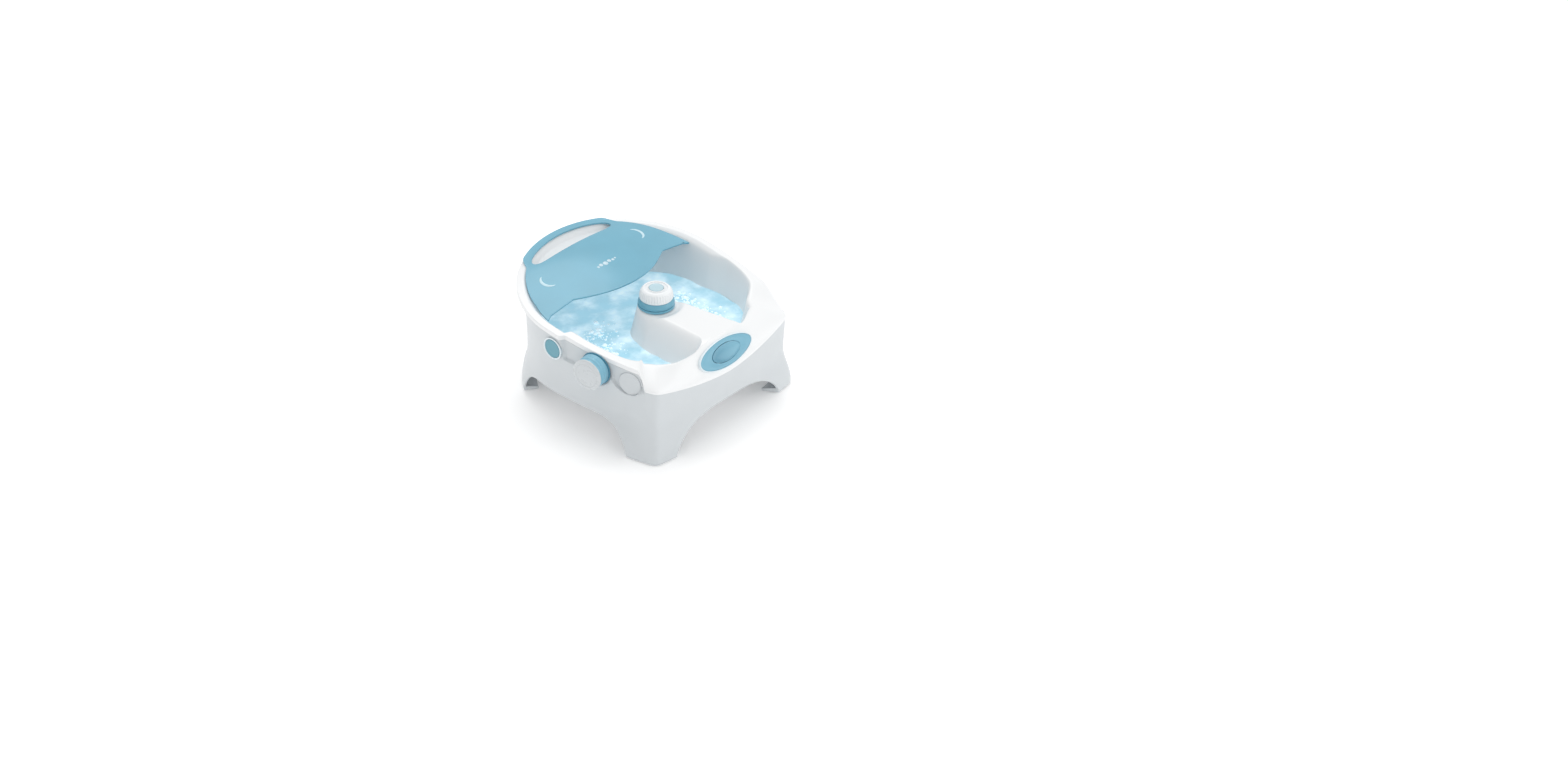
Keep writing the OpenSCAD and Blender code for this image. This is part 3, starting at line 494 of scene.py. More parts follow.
def face_up(made):
    """Turns an open sheet's faces so that they look up."""
    work = bmesh.new()
    work.from_mesh(made.data)
    if sum(f.normal.z * f.calc_area() for f in work.faces) < 0:
        bmesh.ops.reverse_faces(work, faces=work.faces)
    work.to_mesh(made.data)
    work.free()


def flat(x, y, z):
    """Points from plan curves x and y at height z."""
    return np.stack([x, y, z + 0 * x], 1)


def baked(made):
    """Turns the object's modifiers into its mesh."""
    bpy.context.view_layer.update()
    graph = bpy.context.evaluated_depsgraph_get()
    mesh = bpy.data.meshes.new_from_object(made.evaluated_get(graph))
    made.modifiers.clear()
    made.data = mesh
    return made


def carve(made, *cutters):
    """Cuts the cutters out of the object and removes them."""
    for cutter in cutters:
        cut = made.modifiers.new("cut", "BOOLEAN")
        cut.operation = "DIFFERENCE"
        cut.solver = "EXACT"
        cut.object = cutter
    baked(made)
    for cutter in cutters:
        bpy.data.objects.remove(cutter)
    return made


def rounded_edges(made, width, angle=50, segments=2):
    bevel = made.modifiers.new("round", "BEVEL")
    bevel.width = width
    bevel.segments = segments
    bevel.limit_method = "ANGLE"
    bevel.angle_limit = math.radians(angle)
    return baked(made)


def finished(made, material, body, replaces=(), smooth=45):
    """Gives a piece its shading, finish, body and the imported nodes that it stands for."""
    made.data.shade_smooth()
    made.data.set_sharp_from_angle(angle=math.radians(smooth))
    made.data.materials.clear()
    made.data.materials.append(material)
    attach(made, body)
    if replaces:
        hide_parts(*replaces)
    return made


def round_corners(profile, radius, steps=4):
    """A profile of (r, z) points with each inner corner replaced by a short curve."""
    out = [profile[0]]
    for before, at, after in zip(profile, profile[1:], profile[2:]):
        before, at, after = Vector(before), Vector(at), Vector(after)
        cut = min(radius, (at - before).length * 0.45, (after - at).length * 0.45)
        start = at + (before - at).normalized() * cut
        end = at + (after - at).normalized() * cut
        for i in range(steps + 1):
            t = i / steps
            point = start.lerp(at, t).lerp(at.lerp(end, t), t)
            out.append((point.x, point.y))
    out.append(profile[-1])
    return out


def turned(name, profile, place, radius=1.0, segments=96, flutes=0, depth=0.0, zone=(0, 0)):
    """A turned part from an (r, z) profile that starts and ends on the axis, with optional flutes."""
    points = round_corners(profile, radius)
    angles = np.linspace(0, 2 * math.pi, segments, endpoint=False)
    rings = []
    for r, z in points:
        rr = np.full_like(angles, r)
        if flutes:
            window = float(ease(zone[0], zone[0] + 1.5, z) * (1 - ease(zone[1] - 1.5, zone[1], z)))
            rr += depth * window * np.cos(flutes * angles)
        rings.append(flat(rr * np.cos(angles), rr * np.sin(angles), z))
    made = make_mesh(name, np.array(rings), grid_faces(len(rings), segments), merge=0.001)
    made.data.transform(place)
    return made


def place_at(x, y, z):
    return Matrix.Translation(Vector((x, y, z)) * MM)


def wall_slope(y):
    bend = 2 * (HALF_W - FRONT_HALF) * (WIDEST_Y - y) / (WIDEST_Y + CORNER_Y) ** 2
    return math.atan(bend) if y < WIDEST_Y else 0.0


def dock_place(y, z, inset):
    """Puts a turned part on the left wall, with its axis straight out of the wall."""
    out = Matrix.Rotation(math.pi + wall_slope(y), 4, "Z") @ Matrix.Rotation(math.pi / 2, 4, "Y")
    return place_at(inset - side_x(y), y, z) @ out


def panel_place():
    return place_at(0, PANEL_Y, PANEL_H) @ Matrix.Rotation(math.radians(PANEL_TILT), 4, "X")


def oval_ring(a, b, z, shift=0.0, count=144):
    """Points of an oval whose right end is a little more pointed than its left, moved along by shift."""
    phi = np.linspace(0, 2 * math.pi, count, endpoint=False)
    taper = 1 - 0.13 * np.maximum(0, np.cos(phi)) ** 1.5
    return flat(a * np.cos(phi) + shift, b * np.sin(phi) * taper, z)


def oval_part(name, profile, closed=False):
    """A part on the toe panel from rings of (a, b, z) or (a, b, z, shift)."""
    rings = [oval_ring(*ring) for ring in profile]
    made = make_mesh(name, np.array(rings), grid_faces(len(rings), len(rings[0]), closed=closed), merge=0.001)
    made.data.transform(panel_place())
    return made


def panel_cutter(name, depth):
    """An oval plug that reaches depth behind the toe panel, for cutting its hole."""
    plug = oval_part(name, [(PANEL_A - 3, PANEL_B - 2, z) for z in (-depth, 16)])
    close_ends(plug)
    return plug


def peg_cutter(name, radius, y, z, inset):
    """A plain cylinder through the left wall, for cutting a dock hole."""
    angles = np.linspace(0, 2 * math.pi, 72, endpoint=False)
    ends = [flat(radius * np.cos(angles), radius * np.sin(angles), h) for h in (-14.0, 9.0)]
    cutter = make_mesh(name, np.array(ends), grid_faces(2, len(angles)))
    close_ends(cutter)
    cutter.data.transform(dock_place(y, z, inset))
    return cutter


def oval_profile(points, radius):
    """Rounds the corners of a list of (a, b, z), keeping a and b in step."""
    flat = round_corners([(a, z) for a, b, z in points], radius)
    widths = [a for a, b, z in points]
    heights = [b for a, b, z in points]
    order = np.argsort(widths)
    return [(a, float(np.interp(a, np.array(widths)[order], np.array(heights)[order])), z) for a, z in flat]


# ------------------------------------------------------------------ finishes


GRAIN = 900
GLOSS_DRIFT = 0.02


def add_noise(tree, place, scale, detail):
    """A noise of that scale per metre, in the object's own coordinates."""
    noise = tree.nodes.new("ShaderNodeTexNoise")
    noise.inputs["Scale"].default_value = scale
    noise.inputs["Detail"].default_value = detail
    tree.links.new(place.outputs["Object"], noise.inputs["Vector"])
    return noise


def add_range(tree, from_min, from_max, to_min, to_max):
    """A node that maps one range of values to another."""
    node = tree.nodes.new("ShaderNodeMapRange")
    values = {"From Min": from_min, "From Max": from_max, "To Min": to_min, "To Max": to_max}
    for socket, value in values.items():
        node.inputs[socket].default_value = value
    return node


def add_bump(tree, noise, strength, distance):
    """A bump whose height is the noise."""
    bump = tree.nodes.new("ShaderNodeBump")
    bump.inputs["Strength"].default_value = strength
    bump.inputs["Distance"].default_value = distance
    tree.links.new(noise.outputs["Fac"], bump.inputs["Height"])
    return bump


def add_ramp(tree, noise, *stops):
    """A colour ramp over the noise, from two stops of (position, colour)."""
    ramp = tree.nodes.new("ShaderNodeValToRGB")
    for element, (position, colour) in zip(ramp.color_ramp.elements, stops):
        element.position = position
        element.color = (*colour, 1)
    tree.links.new(noise.outputs["Fac"], ramp.inputs["Fac"])
    return ramp


def noise_colour(tree, colour, low, high, scale):
    """A colour that drifts a little over the surface, from a noise of that scale per metre."""
    place = tree.nodes.new("ShaderNodeTexCoord")
    dark, light = ([min(1, v * share) for v in colour] for share in (low, high))
    return place, add_ramp(tree, add_noise(tree, place, scale, 3), (0.3, dark), (0.72, light))


def fresh_tree(name):
    """A new node material and its tree."""
    material = bpy.data.materials.new(name)
    material.use_nodes = True
    return material, material.node_tree


def finish(name, colour, rough, low, high, scale=22, relief=0.03, metal=0.0, coat=0.0):
    """A moulded finish: drifting colour, uneven gloss and a fine grain."""
    if name in bpy.data.materials:
        return bpy.data.materials[name]
    material, tree = fresh_tree(name)
    shader = tree.nodes["Principled BSDF"]
    place, ramp = noise_colour(tree, colour, low, high, scale)
    tree.links.new(ramp.outputs["Color"], shader.inputs["Base Color"])
    gloss = add_noise(tree, place, scale * 7, 4)
    spreader = add_range(tree, 0.3, 0.7, rough - GLOSS_DRIFT, rough + GLOSS_DRIFT)
    tree.links.new(gloss.outputs["Fac"], spreader.inputs["Value"])
    tree.links.new(spreader.outputs["Result"], shader.inputs["Roughness"])
    bump = add_bump(tree, add_noise(tree, place, GRAIN, 2), relief, 0.0004)
    tree.links.new(bump.outputs["Normal"], shader.inputs["Normal"])
    shader.inputs["Metallic"].default_value = metal
    shader.inputs["Coat Weight"].default_value = coat
    shader.inputs["Coat Roughness"].default_value = 0.12
    shader.inputs["IOR"].default_value = 1.49
    return material


# Moulded finishes: colour setting, roughness, coat, and the darkest and lightest drift of the colour
MOULDED = {
    "shell_white": ("white", 0.3, 0.25, 0.985, 1.015),
    "housing_white": ("housing", 0.36, 0.15, 0.985, 1.015),
    "hood_blue": ("hood", 0.3, 0.3, 0.96, 1.03),
    "panel_blue": ("panel", 0.3, 0.2, 0.97, 1.03),
    "dish_blue": ("dish", 0.3, 0.3, 0.96, 1.03),
    "liner_blue": ("liner", 0.34, 0.0, 0.95, 1.04),
    "head_blue": ("head", 0.3, 0.2, 0.97, 1.03),
    "face_grey": ("face", 0.28, 0.3, 0.985, 1.015),
    "disc_blue": ("disc", 0.26, 0.3, 0.985, 1.015),
    "small_blue": ("small", 0.34, 0.0, 0.95, 1.04),
    "pale_edge": ("pale", 0.28, 0.2, 0.985, 1.015),
    "crescent_blue": ("crescent", 0.28, 0.3, 0.985, 1.015),
    "bubble_white": ("dots", 0.25, 0.3, 0.985, 1.015),
    "knob_white": ("knob", 0.26, 0.3, 0.985, 1.015),
    "bubble_film": ("film", 0.12, 0.4, 0.97, 1.02),
}


def moulded(name):
    colour, rough, coat, low, high = MOULDED[name]
    return finish(name, getattr(settings().colours, colour), rough=rough, low=low, high=high, coat=coat)


def give_glow(material, colour, strength):
    """Lets a moulded finish give off a little light: painted light on the bubbles, an even glow on the floor.
    """
    shader = material.node_tree.nodes["Principled BSDF"].inputs
    shader["Emission Color"].default_value = (*colour, 1)
    shader["Emission Strength"].default_value = strength


def dish_blue():
    """The dish's finish with painted shade: deepest blue at its left end, where the dish's wall would lie in
    shade, fading into the panel's blue at its right.
    """
    fresh = "dish_blue" not in bpy.data.materials
    material = moulded("dish_blue")
    if fresh:
        tree = material.node_tree
        shader = tree.nodes["Principled BSDF"]
        drift = shader.inputs["Base Color"].links[0].from_socket
        place = next(n for n in tree.nodes if n.type == "TEX_COORD")
        # Painted shade: the colour runs from the dish's own deep blue at its left end to the panel's blue at
        # its right
        axes = tree.nodes.new("ShaderNodeSeparateXYZ")
        along = tree.nodes.new("ShaderNodeMapRange")
        along.interpolation_type = "SMOOTHSTEP"
        along.inputs["From Min"].default_value = -0.8 * BUTTON_A * MM
        along.inputs["From Max"].default_value = 0.8 * BUTTON_A * MM
        blend = tree.nodes.new("ShaderNodeMix")
        blend.data_type = "RGBA"
        blend.inputs["B"].default_value = (*settings().colours.panel, 1)
        tree.links.new(place.outputs["Object"], axes.inputs["Vector"])
        tree.links.new(axes.outputs["X"], along.inputs["Value"])
        tree.links.new(along.outputs["Result"], blend.inputs["Factor"])
        tree.links.new(drift, blend.inputs["A"])
        tree.links.new(blend.outputs["Result"], shader.inputs["Base Color"])
    return material


def water_finish():
    """Clear tinted water with foam where bubbles gather, and a painted glow that makes it as bright as lit
    water.
    """
    material, tree = fresh_tree("bath_water")
    nodes, links = tree.nodes, tree.links
    nodes.remove(nodes["Principled BSDF"])
    colours = settings().colours
    clear = nodes.new("ShaderNodeBsdfTransparent")
    clear.inputs["Color"].default_value = (*colours.water, 1)
    gloss = nodes.new("ShaderNodeBsdfGlossy")
    gloss.inputs["Roughness"].default_value = 0.04
    body = nodes.new("ShaderNodeBsdfDiffuse")
    # Painted light: the water gives off light of its own, mixed half and half with its diffuse body
    glow = nodes.new("ShaderNodeEmission")
    glow.inputs["Strength"].default_value = WATER_PAINTED_LIGHT
    place = nodes.new("ShaderNodeTexCoord")
    bump = add_bump(tree, add_noise(tree, place, 55, 3), 0.4, 0.0008)
    foam = add_noise(tree, place, 30, 5)
    amount = add_range(tree, 0.45, 0.7, 0.8, 0.95)
    milk = add_ramp(tree, foam, (0.4, colours.water_deep), (0.95, colours.foam))
    fresnel = nodes.new("ShaderNodeFresnel")
    fresnel.inputs["IOR"].default_value = 1.33
    lit, cloudy, surface = (nodes.new("ShaderNodeMixShader") for _ in range(3))
    lit.inputs["Fac"].default_value = 0.5
    for target in (gloss, fresnel):
        links.new(bump.outputs["Normal"], target.inputs["Normal"])
    for target in (body, glow):
        links.new(milk.outputs["Color"], target.inputs["Color"])
    links.new(foam.outputs["Fac"], amount.inputs["Value"])
    links.new(amount.outputs["Result"], cloudy.inputs["Fac"])
    links.new(fresnel.outputs[0], surface.inputs["Fac"])
    for blend, first, second in ((lit, body, glow), (cloudy, clear, lit), (surface, cloudy, gloss)):
        links.new(first.outputs[0], blend.inputs[1])
        links.new(second.outputs[0], blend.inputs[2])
    links.new(surface.outputs[0], nodes["Material Output"].inputs["Surface"])
    return material


# ------------------------------------------------------------------ pieces


class FOOTSPA_OT_bath(bpy.types.Operator):
    """Bath moulding: rim, apron, wells and the ridge between them"""

    bl_idname = "footspa.bath"
    bl_label = "Bath"

    def execute(self, context):
        sizes = settings().sizes
        th = mirrored_directions(sizes.columns)
        c = column_set(th)

        def at_inset(d, z):
            return flat(*plan(th, d), z)

        rows = [at_inset(c.d0, mix(c.lip, c.edge, t)) for t in np.linspace(0, 1, 8)[:-1]]
        for u in np.linspace(0, 1, 16)[:-1]:
            rows.append(at_inset(mix(c.d0, c.d1, u), mix(c.edge, c.top, u**0.85)))
        sy = spine_y(th)
        reach = np.hypot(c.ex, c.ey - sy)
        m = np.clip((reach - 10) / 110, 0, 1)

        def bath_row(q, t):
            share = q / reach
            x, y = c.ex * share, sy + (c.ey - sy) * share
            return flat(x, y, bath_z(x, y, reach - q, t, c.top))

        from_rim = [reach - w * m for w in np.linspace(0, 50, 40)]
        middle = [mix(reach - 50 * m, 66 * m, t) for t in np.linspace(0, 1, 14)[1:-1]]
        from_spine = [q * m for q in np.linspace(66, 0, 46)]
        steps = from_rim + middle + from_spine
        first_bath = len(rows)
        rows += [bath_row(q, 0.0) for q in steps]
        outer = softened(np.array(rows), 3, 2, first_bath + len(steps) - 2)
        drop = 0.13 * (c.top - c.edge)
        under = [
            at_inset(c.d0 + WALL_T, c.lip),
            at_inset(c.d0 + WALL_T, mix(c.edge - 2.3, c.edge + drop - 6, c.front)),
            at_inset(c.d1 - WALL_T, mix(c.top - 3, c.top - drop - 6, c.front)),
        ]
        under += [bath_row(q, WALL_T) for q in steps[3:-1:6] + [steps[-1]]]
        skin = np.concatenate([np.array(under)[::-1], outer])
        bath = make_mesh("bath_shell", skin, grid_faces(len(skin), len(th)), merge=0.02)
        carve(bath, panel_cutter("bath_cutter", 10))
        finished(bath, moulded("shell_white"), "body", ["basin"], smooth=50)
        return {"FINISHED"}


class FOOTSPA_OT_housing(bpy.types.Operator):
    """Outer housing: walls, dock niche, legs and arches"""

    bl_idname = "footspa.housing"
    bl_label = "Housing"

    def execute(self, context):
        sizes = settings().sizes
        th = foot_directions(sizes.columns + 80)
        c = column_set(th)
        top = house_top(c)
        foot = foot_line(th)

        def wall(inset, z):
            return flat(*plan(th, wall_d(c, z) + inset), z)

        shares = np.concatenate([np.linspace(0, 0.5, 44)[:-1], np.linspace(0.5, 1, 30)])
        outer = [wall(0, mix(top, foot, t)) for t in shares]
        sole = mix(WALL_T, 24, ease(6, 3, foot))
        inner = [wall(sole, foot), wall(sole, foot + 4)]
        inner_top = top - 3.2 * ease(0, 120 * KY, c.y)
        inner += [wall(WALL_T, mix(inner_top, foot + 4.2, t)) for t in np.linspace(1, 0, 22)]
        skin = np.array(outer + inner)
        housing = make_mesh("housing_shell", skin, grid_faces(len(skin), len(th), closed=True))
        cutters = [
            peg_cutter("cut_front", CUP_R + PART_GAP, DOCK_FRONT_Y, DOCK_FRONT_H, SIDE_INSET + NICHE_DEPTH),
            peg_cutter("cut_middle", CUP_R + PART_GAP, DOCK_MID_Y, DOCK_H, SIDE_INSET + NICHE_DEPTH),
            peg_cutter("cut_rear", SMALL_R + 2.4, DOCK_REAR_Y, DOCK_H + 4, SIDE_INSET),
        ]
        carve(housing, *cutters, panel_cutter("cut_panel", 16))
        rounded_edges(housing, sizes.edge_round)
        finished(housing, moulded("housing_white"), "body", ["outer_housing"], smooth=40)
        return {"FINISHED"}


def hood_z(x, y):
    across = np.abs(x) / (166 * KX)
    return HOOD_FRONT_H + HOOD_RISE * ease(-10, 160 * KY, y) - HOOD_FALL * across**1.8


def hood_over(th):
    return ease(55, 63, from_side(th))


def hood_point(th, u):
    """Point of the hood on column th, u from its front edge to its outer edge."""
    x, y = plan(th, 17)
    seat = RIM_BAND + rim_z(y) - hood_z(x, y) + HOOD_T + 2.8
    edge = mix(np.maximum(13, np.minimum(RIM_BAND + LEDGE_W + 1, seat)), 1.5, hood_over(th))
    ox, oy = plan(th, edge)
    fx = 153 * KX * np.cos(th) / math.cos(HOOD_FIRST)
    fy = 45 * KY - 35 * KY * np.maximum(0, 1 - np.abs(fx / (104 * KX)) ** 2) ** 1.1
    px, py = mix(fx, ox, u), mix(fy, oy, u)
    over = hood_over(th) ** 0.4 * ease(0.88, 1, u)
    return np.stack([px, py, mix(hood_z(px, py), rim_z(py) + HOOD_T + 2, over)], -1)


def slot_edges(th):
    """For each column, where the hand slot starts and ends along it."""
    u = np.linspace(0, 1, 801)[:, None]
    p = hood_point(th[None, :], u)
    near_chord = np.argmax(p[..., 1] >= SLOT_Y, axis=0)
    radius = np.hypot(p[..., 0], p[..., 1])
    inside = radius < plan_r(np.arctan2(p[..., 1], p[..., 0]), 14)
    last = len(u) - 1 - np.argmax(inside[::-1], axis=0)
    near_chord = np.where(near_chord == 0, last, near_chord)
    a, b = u[near_chord, 0], np.maximum(u[last, 0], u[near_chord, 0])
    centre = (a + b) / 2
    x = hood_point(th, centre)[:, 0]
    opening = np.sqrt(np.maximum(0, 1 - np.abs(x / (SLOT_HALF_W * KX)) ** 14))
    return mix(centre, a, opening), mix(centre, b, opening)


class FOOTSPA_OT_hood(bpy.types.Operator):
    """Splash hood over the heel end, with its hand slot, raised crescents and row of bubbles"""

    bl_idname = "footspa.hood"
    bl_label = "Splash hood"

    def execute(self, context):
        sizes = settings().sizes
        fine = np.linspace(HOOD_FIRST, HOOD_LAST, 4001)
        slot_a, slot_b = slot_edges(fine)
        th = spread(fine, hood_point(fine, slot_a), sizes.hood_columns)
        slot_a, slot_b = slot_edges(th)
        front_rows = [hood_point(th, slot_a * t) for t in np.linspace(0, 1, 44)]
        back_rows = [hood_point(th, mix(slot_b, 1, t)) for t in np.linspace(0, 1, 16)]
        cols = len(th)
        faces = grid_faces(len(front_rows), cols, around=False)
        offset = len(front_rows) * cols
        faces += [tuple(i + offset for i in f) for f in grid_faces(len(back_rows), cols, around=False)]
        hood = make_mesh("splash_hood", np.array(front_rows + back_rows), faces, merge=0.05)
        face_up(hood)
        thick = hood.modifiers.new("thickness", "SOLIDIFY")
        thick.thickness = HOOD_T * MM
        thick.offset = -1
        baked(hood)
        rounded_edges(hood, sizes.edge_round, angle=60)
        finished(hood, moulded("hood_blue"), "guard", ["splash_guard"], smooth=50)
        for side in (-1, 1):
            raised_crescent(side, sizes.crescent_r / MM)
        bubble_row()
        return {"FINISHED"}


def raised_crescent(side, radius):
    """A crescent that stands a little proud of the hood and fades at both ends; its pale colour is a painted
    highlight, the light caught on the edge of a round bump.
    """
    rings = []
    turn = np.linspace(0, 2 * math.pi, 16, endpoint=False)
    for t in np.linspace(0, 1, 49):
        a = math.radians(-80 + 150 * t)
        width = 0.15 + 2.0 * math.sin(math.pi * t) ** 0.7
        r = radius + width * 1.2 * np.cos(turn)
        x = side * (97 * KX + r * math.cos(a))
        y = 103 * KY + r * math.sin(a)
        z = hood_z(x, y) + width * 0.55 * np.sin(turn) - 0.1
        rings.append(flat(x, y, z))
    name = "hood_crescent_left" if side < 0 else "hood_crescent_right"
    made = make_mesh(name, np.array(rings), grid_faces(len(rings), len(turn)))
    close_ends(made)
    finished(made, moulded("crescent_blue"), "guard")


def bubble_row():
    """A short row of raised round bubbles in the middle of the hood."""
    turn = np.linspace(0, 2 * math.pi, 28, endpoint=False)
    row = [(-19, 2.4), (-12, 3.6), (-3, 4.6), (6.5, 3.6), (14, 2.8), (20, 2.0)]
    for i, (along, radius) in enumerate(row):
        rings = []
        for lift in np.linspace(0, math.pi / 2, 9):
            r = radius * math.cos(lift)
            x = along + r * np.cos(turn)
            y = 71.5 * KY + (i % 2) * 1.2 + r * np.sin(turn)
            rings.append(flat(x, y, hood_z(x, y) - 0.2 + 0.3 * radius * math.sin(lift)))
        faces = grid_faces(len(rings), len(turn))
        made = make_mesh(f"hood_bubble_{i + 1}", np.array(rings), faces, merge=0.001)
        close_ends(made)
        finished(made, moulded("bubble_white"), "guard")


class FOOTSPA_OT_toe_panel(bpy.types.Operator):
    """Oval toe panel on the apron, with its pale border and dished button"""

    bl_idname = "footspa.toe_panel"
    bl_label = "Toe panel"

    def execute(self, context):
        edge = settings().sizes.border / MM
        a, b = PANEL_A - edge, PANEL_B - edge
        ring = [
            (BUTTON_A + 0.6, BUTTON_B + 0.6, -4.5),
            (BUTTON_A + 0.6, BUTTON_B + 0.6, 2.9),
            (BUTTON_A + 3.5, BUTTON_B + 1.6, 3.0),
            (BUTTON_A + 14, BUTTON_B + 4.4, 2.3),
            (a - 2, b - 1, 2.8),
            (a, b, 2.7),
            (a + 0.2, b + 0.2, -4.5),
        ]
        panel = oval_part("toe_panel", oval_profile(ring, 1.6), closed=True)
        finished(panel, moulded("panel_blue"), "body", ["toe_bezel"])
        border = [
            (a + 0.05, b + 0.05, -2),
            (a + 0.05, b + 0.05, 2.6),
            (a + 0.5, b + 0.5, 3.5),
            (PANEL_A - 0.4, PANEL_B - 0.4, 3.1),
            (PANEL_A, PANEL_B, 1.6),
            (PANEL_A - 0.4, PANEL_B - 0.4, -2),
        ]
        rim = oval_part("toe_panel_border", oval_profile(border, 0.5), closed=True)
        finished(rim, moulded("pale_edge"), "body")
        dish = [(BUTTON_A, BUTTON_B, -8.0), (BUTTON_A, BUTTON_B, 3.1), (BUTTON_A - 1.4, BUTTON_B - 1.4, 3.2)]
        for t in np.linspace(0.93, 0.02, 22):
            dish.append((BUTTON_A * t, BUTTON_B * t, 0.5 + 2.6 * t**2.4, -16 * (1 - t) ** 1.2))
        dish.append((0.001, 0.001, 0.5, -16))
        button = oval_part("toe_dish", [(0.001, 0.001, -8.0)] + dish)
        finished(button, dish_blue(), "button", ["toe_button"])
        return {"FINISHED"}


class FOOTSPA_OT_hub(bpy.types.Operator):
    """Hub: collar, blue body, fluted knob, groove ring and centre disc"""

    bl_idname = "footspa.hub"
    bl_label = "Hub"

    def execute(self, context):
        soft = settings().sizes.dome_round / MM
        place = place_at(0, HUB_Y, 0)
        low, high = float(HUB_LOW[2]), float(HUB_HIGH[2])
        r = float(HUB_HIGH[0])
        collar = [(8.5, low), (r - 2, low + 0.1), (r, low + 2), (r - 0.6, high), (8.5, high), (8.5, low)]
        finished(turned("hub_skirt", collar, place, soft), moulded("hood_blue"), "body", ["hub_collar"])
        low, high = float(HEAD_LOW[2]), float(HEAD_HIGH[2])
        r = float(HEAD_HIGH[0])
        body = [(0, low), (r - 1, low), (r, low + 2.5), (r - 0.4, high - 5), (r - 2.8, high), (0, high)]
        finished(turned("hub_body", body, place, 1.4), moulded("hood_blue"), "hub_head", ["hub_head_body"])
        low, high = float(KNOB_LOW[2]), float(KNOB_HIGH[2])
        k = float(KNOB_HIGH[0]) - 1.8
        side = [(0, low), (k + 1.2, low), (k + 1.6, low + 2.5), (k + 0.6, low + 9), (k - 1.4, high - 3.2)]
        crown = [(k - 4.4, high - 0.4), (k - 7.2, high), (k - 7.5, high - 2.5), (k - 11.5, high - 2.5)]
        centre = [(k - 11.8, high - 0.1), (k - 13.2, high - 0.1), (k - 13.5, high - 2), (0, high - 2)]
        knob, zone = side + crown + centre, (low + 1.5, high - 3)
        grip = turned("hub_grip", knob, place, 1.2, segments=432, flutes=36, depth=0.5, zone=zone)
        finished(grip, moulded("knob_white"), "hub_head", ["hub_knob"], smooth=60)
        r = k - 13.8
        disc = [(0, high - 1.8), (r, high - 1.8), (r, high + 0.1), (r - 1.2, high + 0.6)]
        disc += [(r - 4.2, high + 0.2), (0, high - 0.3)]
        finished(turned("hub_centre", disc, place, 0.8), moulded("disc_blue"), "hub_head", ["hub_disc"])
        return {"FINISHED"}


class FOOTSPA_OT_docks(bpy.types.Operator):
    """Docks in the left side, with the large and the small massage head"""

    bl_idname = "footspa.docks"
    bl_label = "Docks and heads"

    def execute(self, context):
        soft = settings().sizes.dome_round / MM
        inset = SIDE_INSET + NICHE_DEPTH
        middle = dock_place(DOCK_MID_Y, DOCK_H, inset)
        front = dock_place(DOCK_FRONT_Y, DOCK_FRONT_H, inset)
        rear = dock_place(DOCK_REAR_Y, DOCK_H + 4, SIDE_INSET)
        r, wide = CUP_R, HEAD_R + 1.5
        cup = [(0, -5.4), (r, -5.4), (r, 0.7), (wide, 0.7), (wide, 2), (r - 1.6, 2), (r - 1.6, -3.5)]
        cup += [(4, -3.5), (4, 5.4), (0, 5.4)]
        shallow = [(0, -5.4), (r + 0.3, -5.4), (r + 0.3, 0.05), (r - 2, -0.3), (r - 5, -0.9)]
        shallow += [(6, -1.6), (0, -1.6)]
        body = [(0, -2.9), (r - 2.4, -2.9), (r - 2.4, 2.9)]
        r, out = HEAD_R, HEAD_OUT
        body += [(r, 2.9), (r, 10), (r - 0.7, 11), (r - 0.7, 12), (r, 13), (r, 16), (r - 1.5, 17.4)]
        body += [(r - 1.5, out - 4), (0, out - 4)]
        face = [(0, out - 3.9), (r - 0.5, out - 3.9), (r + 0.5, out - 3), (r + 0.4, out - 0.8)]
        face += [(r - 1.6, out + 0.5), (r - 4.6, out + 0.7), (r - 5.2, out + 0.2), (r - 6.4, out + 0.2)]
        face += [(r - 7, out + 0.7), (0, out + 0.8)]
        r = SMALL_R + 2.1
        ring = [(0, -8.9), (r, -8.9), (r, 0.7), (r + 0.9, 0.7), (r + 0.9, 2), (r - 1.6, 2), (r - 1.6, -7)]
        ring += [(4, -7), (4, 0.9), (0, 0.9)]
        r = SMALL_R
        small = [(0, -6.4), (r - 0.5, -6.4), (r - 0.5, 0), (r, 0.2), (r, 1.7)]
        small += [(r - 1.4, 2.4), (r - 4, 1.9), (0, 1.7)]
        for name, profile, place, rounding, look, rides, node in (
            ("dock_liner", cup, middle, 0.7, "liner_blue", "body", "dock_cup_middle"),
            ("docked_head_side", body, middle, soft, "head_blue", "docked_head", "roller_head_body"),
            ("docked_head_face", face, middle, 0.8, "face_grey", "docked_head", "roller_head_face"),
            ("dock_empty", shallow, front, 0.9, "housing_white", "body", "dock_cup_front"),
            ("dock_ring_rear", ring, rear, 0.6, "pale_edge", "body", "dock_cup_rear"),
            ("docked_small_face", small, rear, 0.6, "small_blue", "docked_small_head", "small_head"),
        ):
            finished(turned(name, profile, place, rounding), moulded(look), rides, [node])
        return {"FINISHED"}


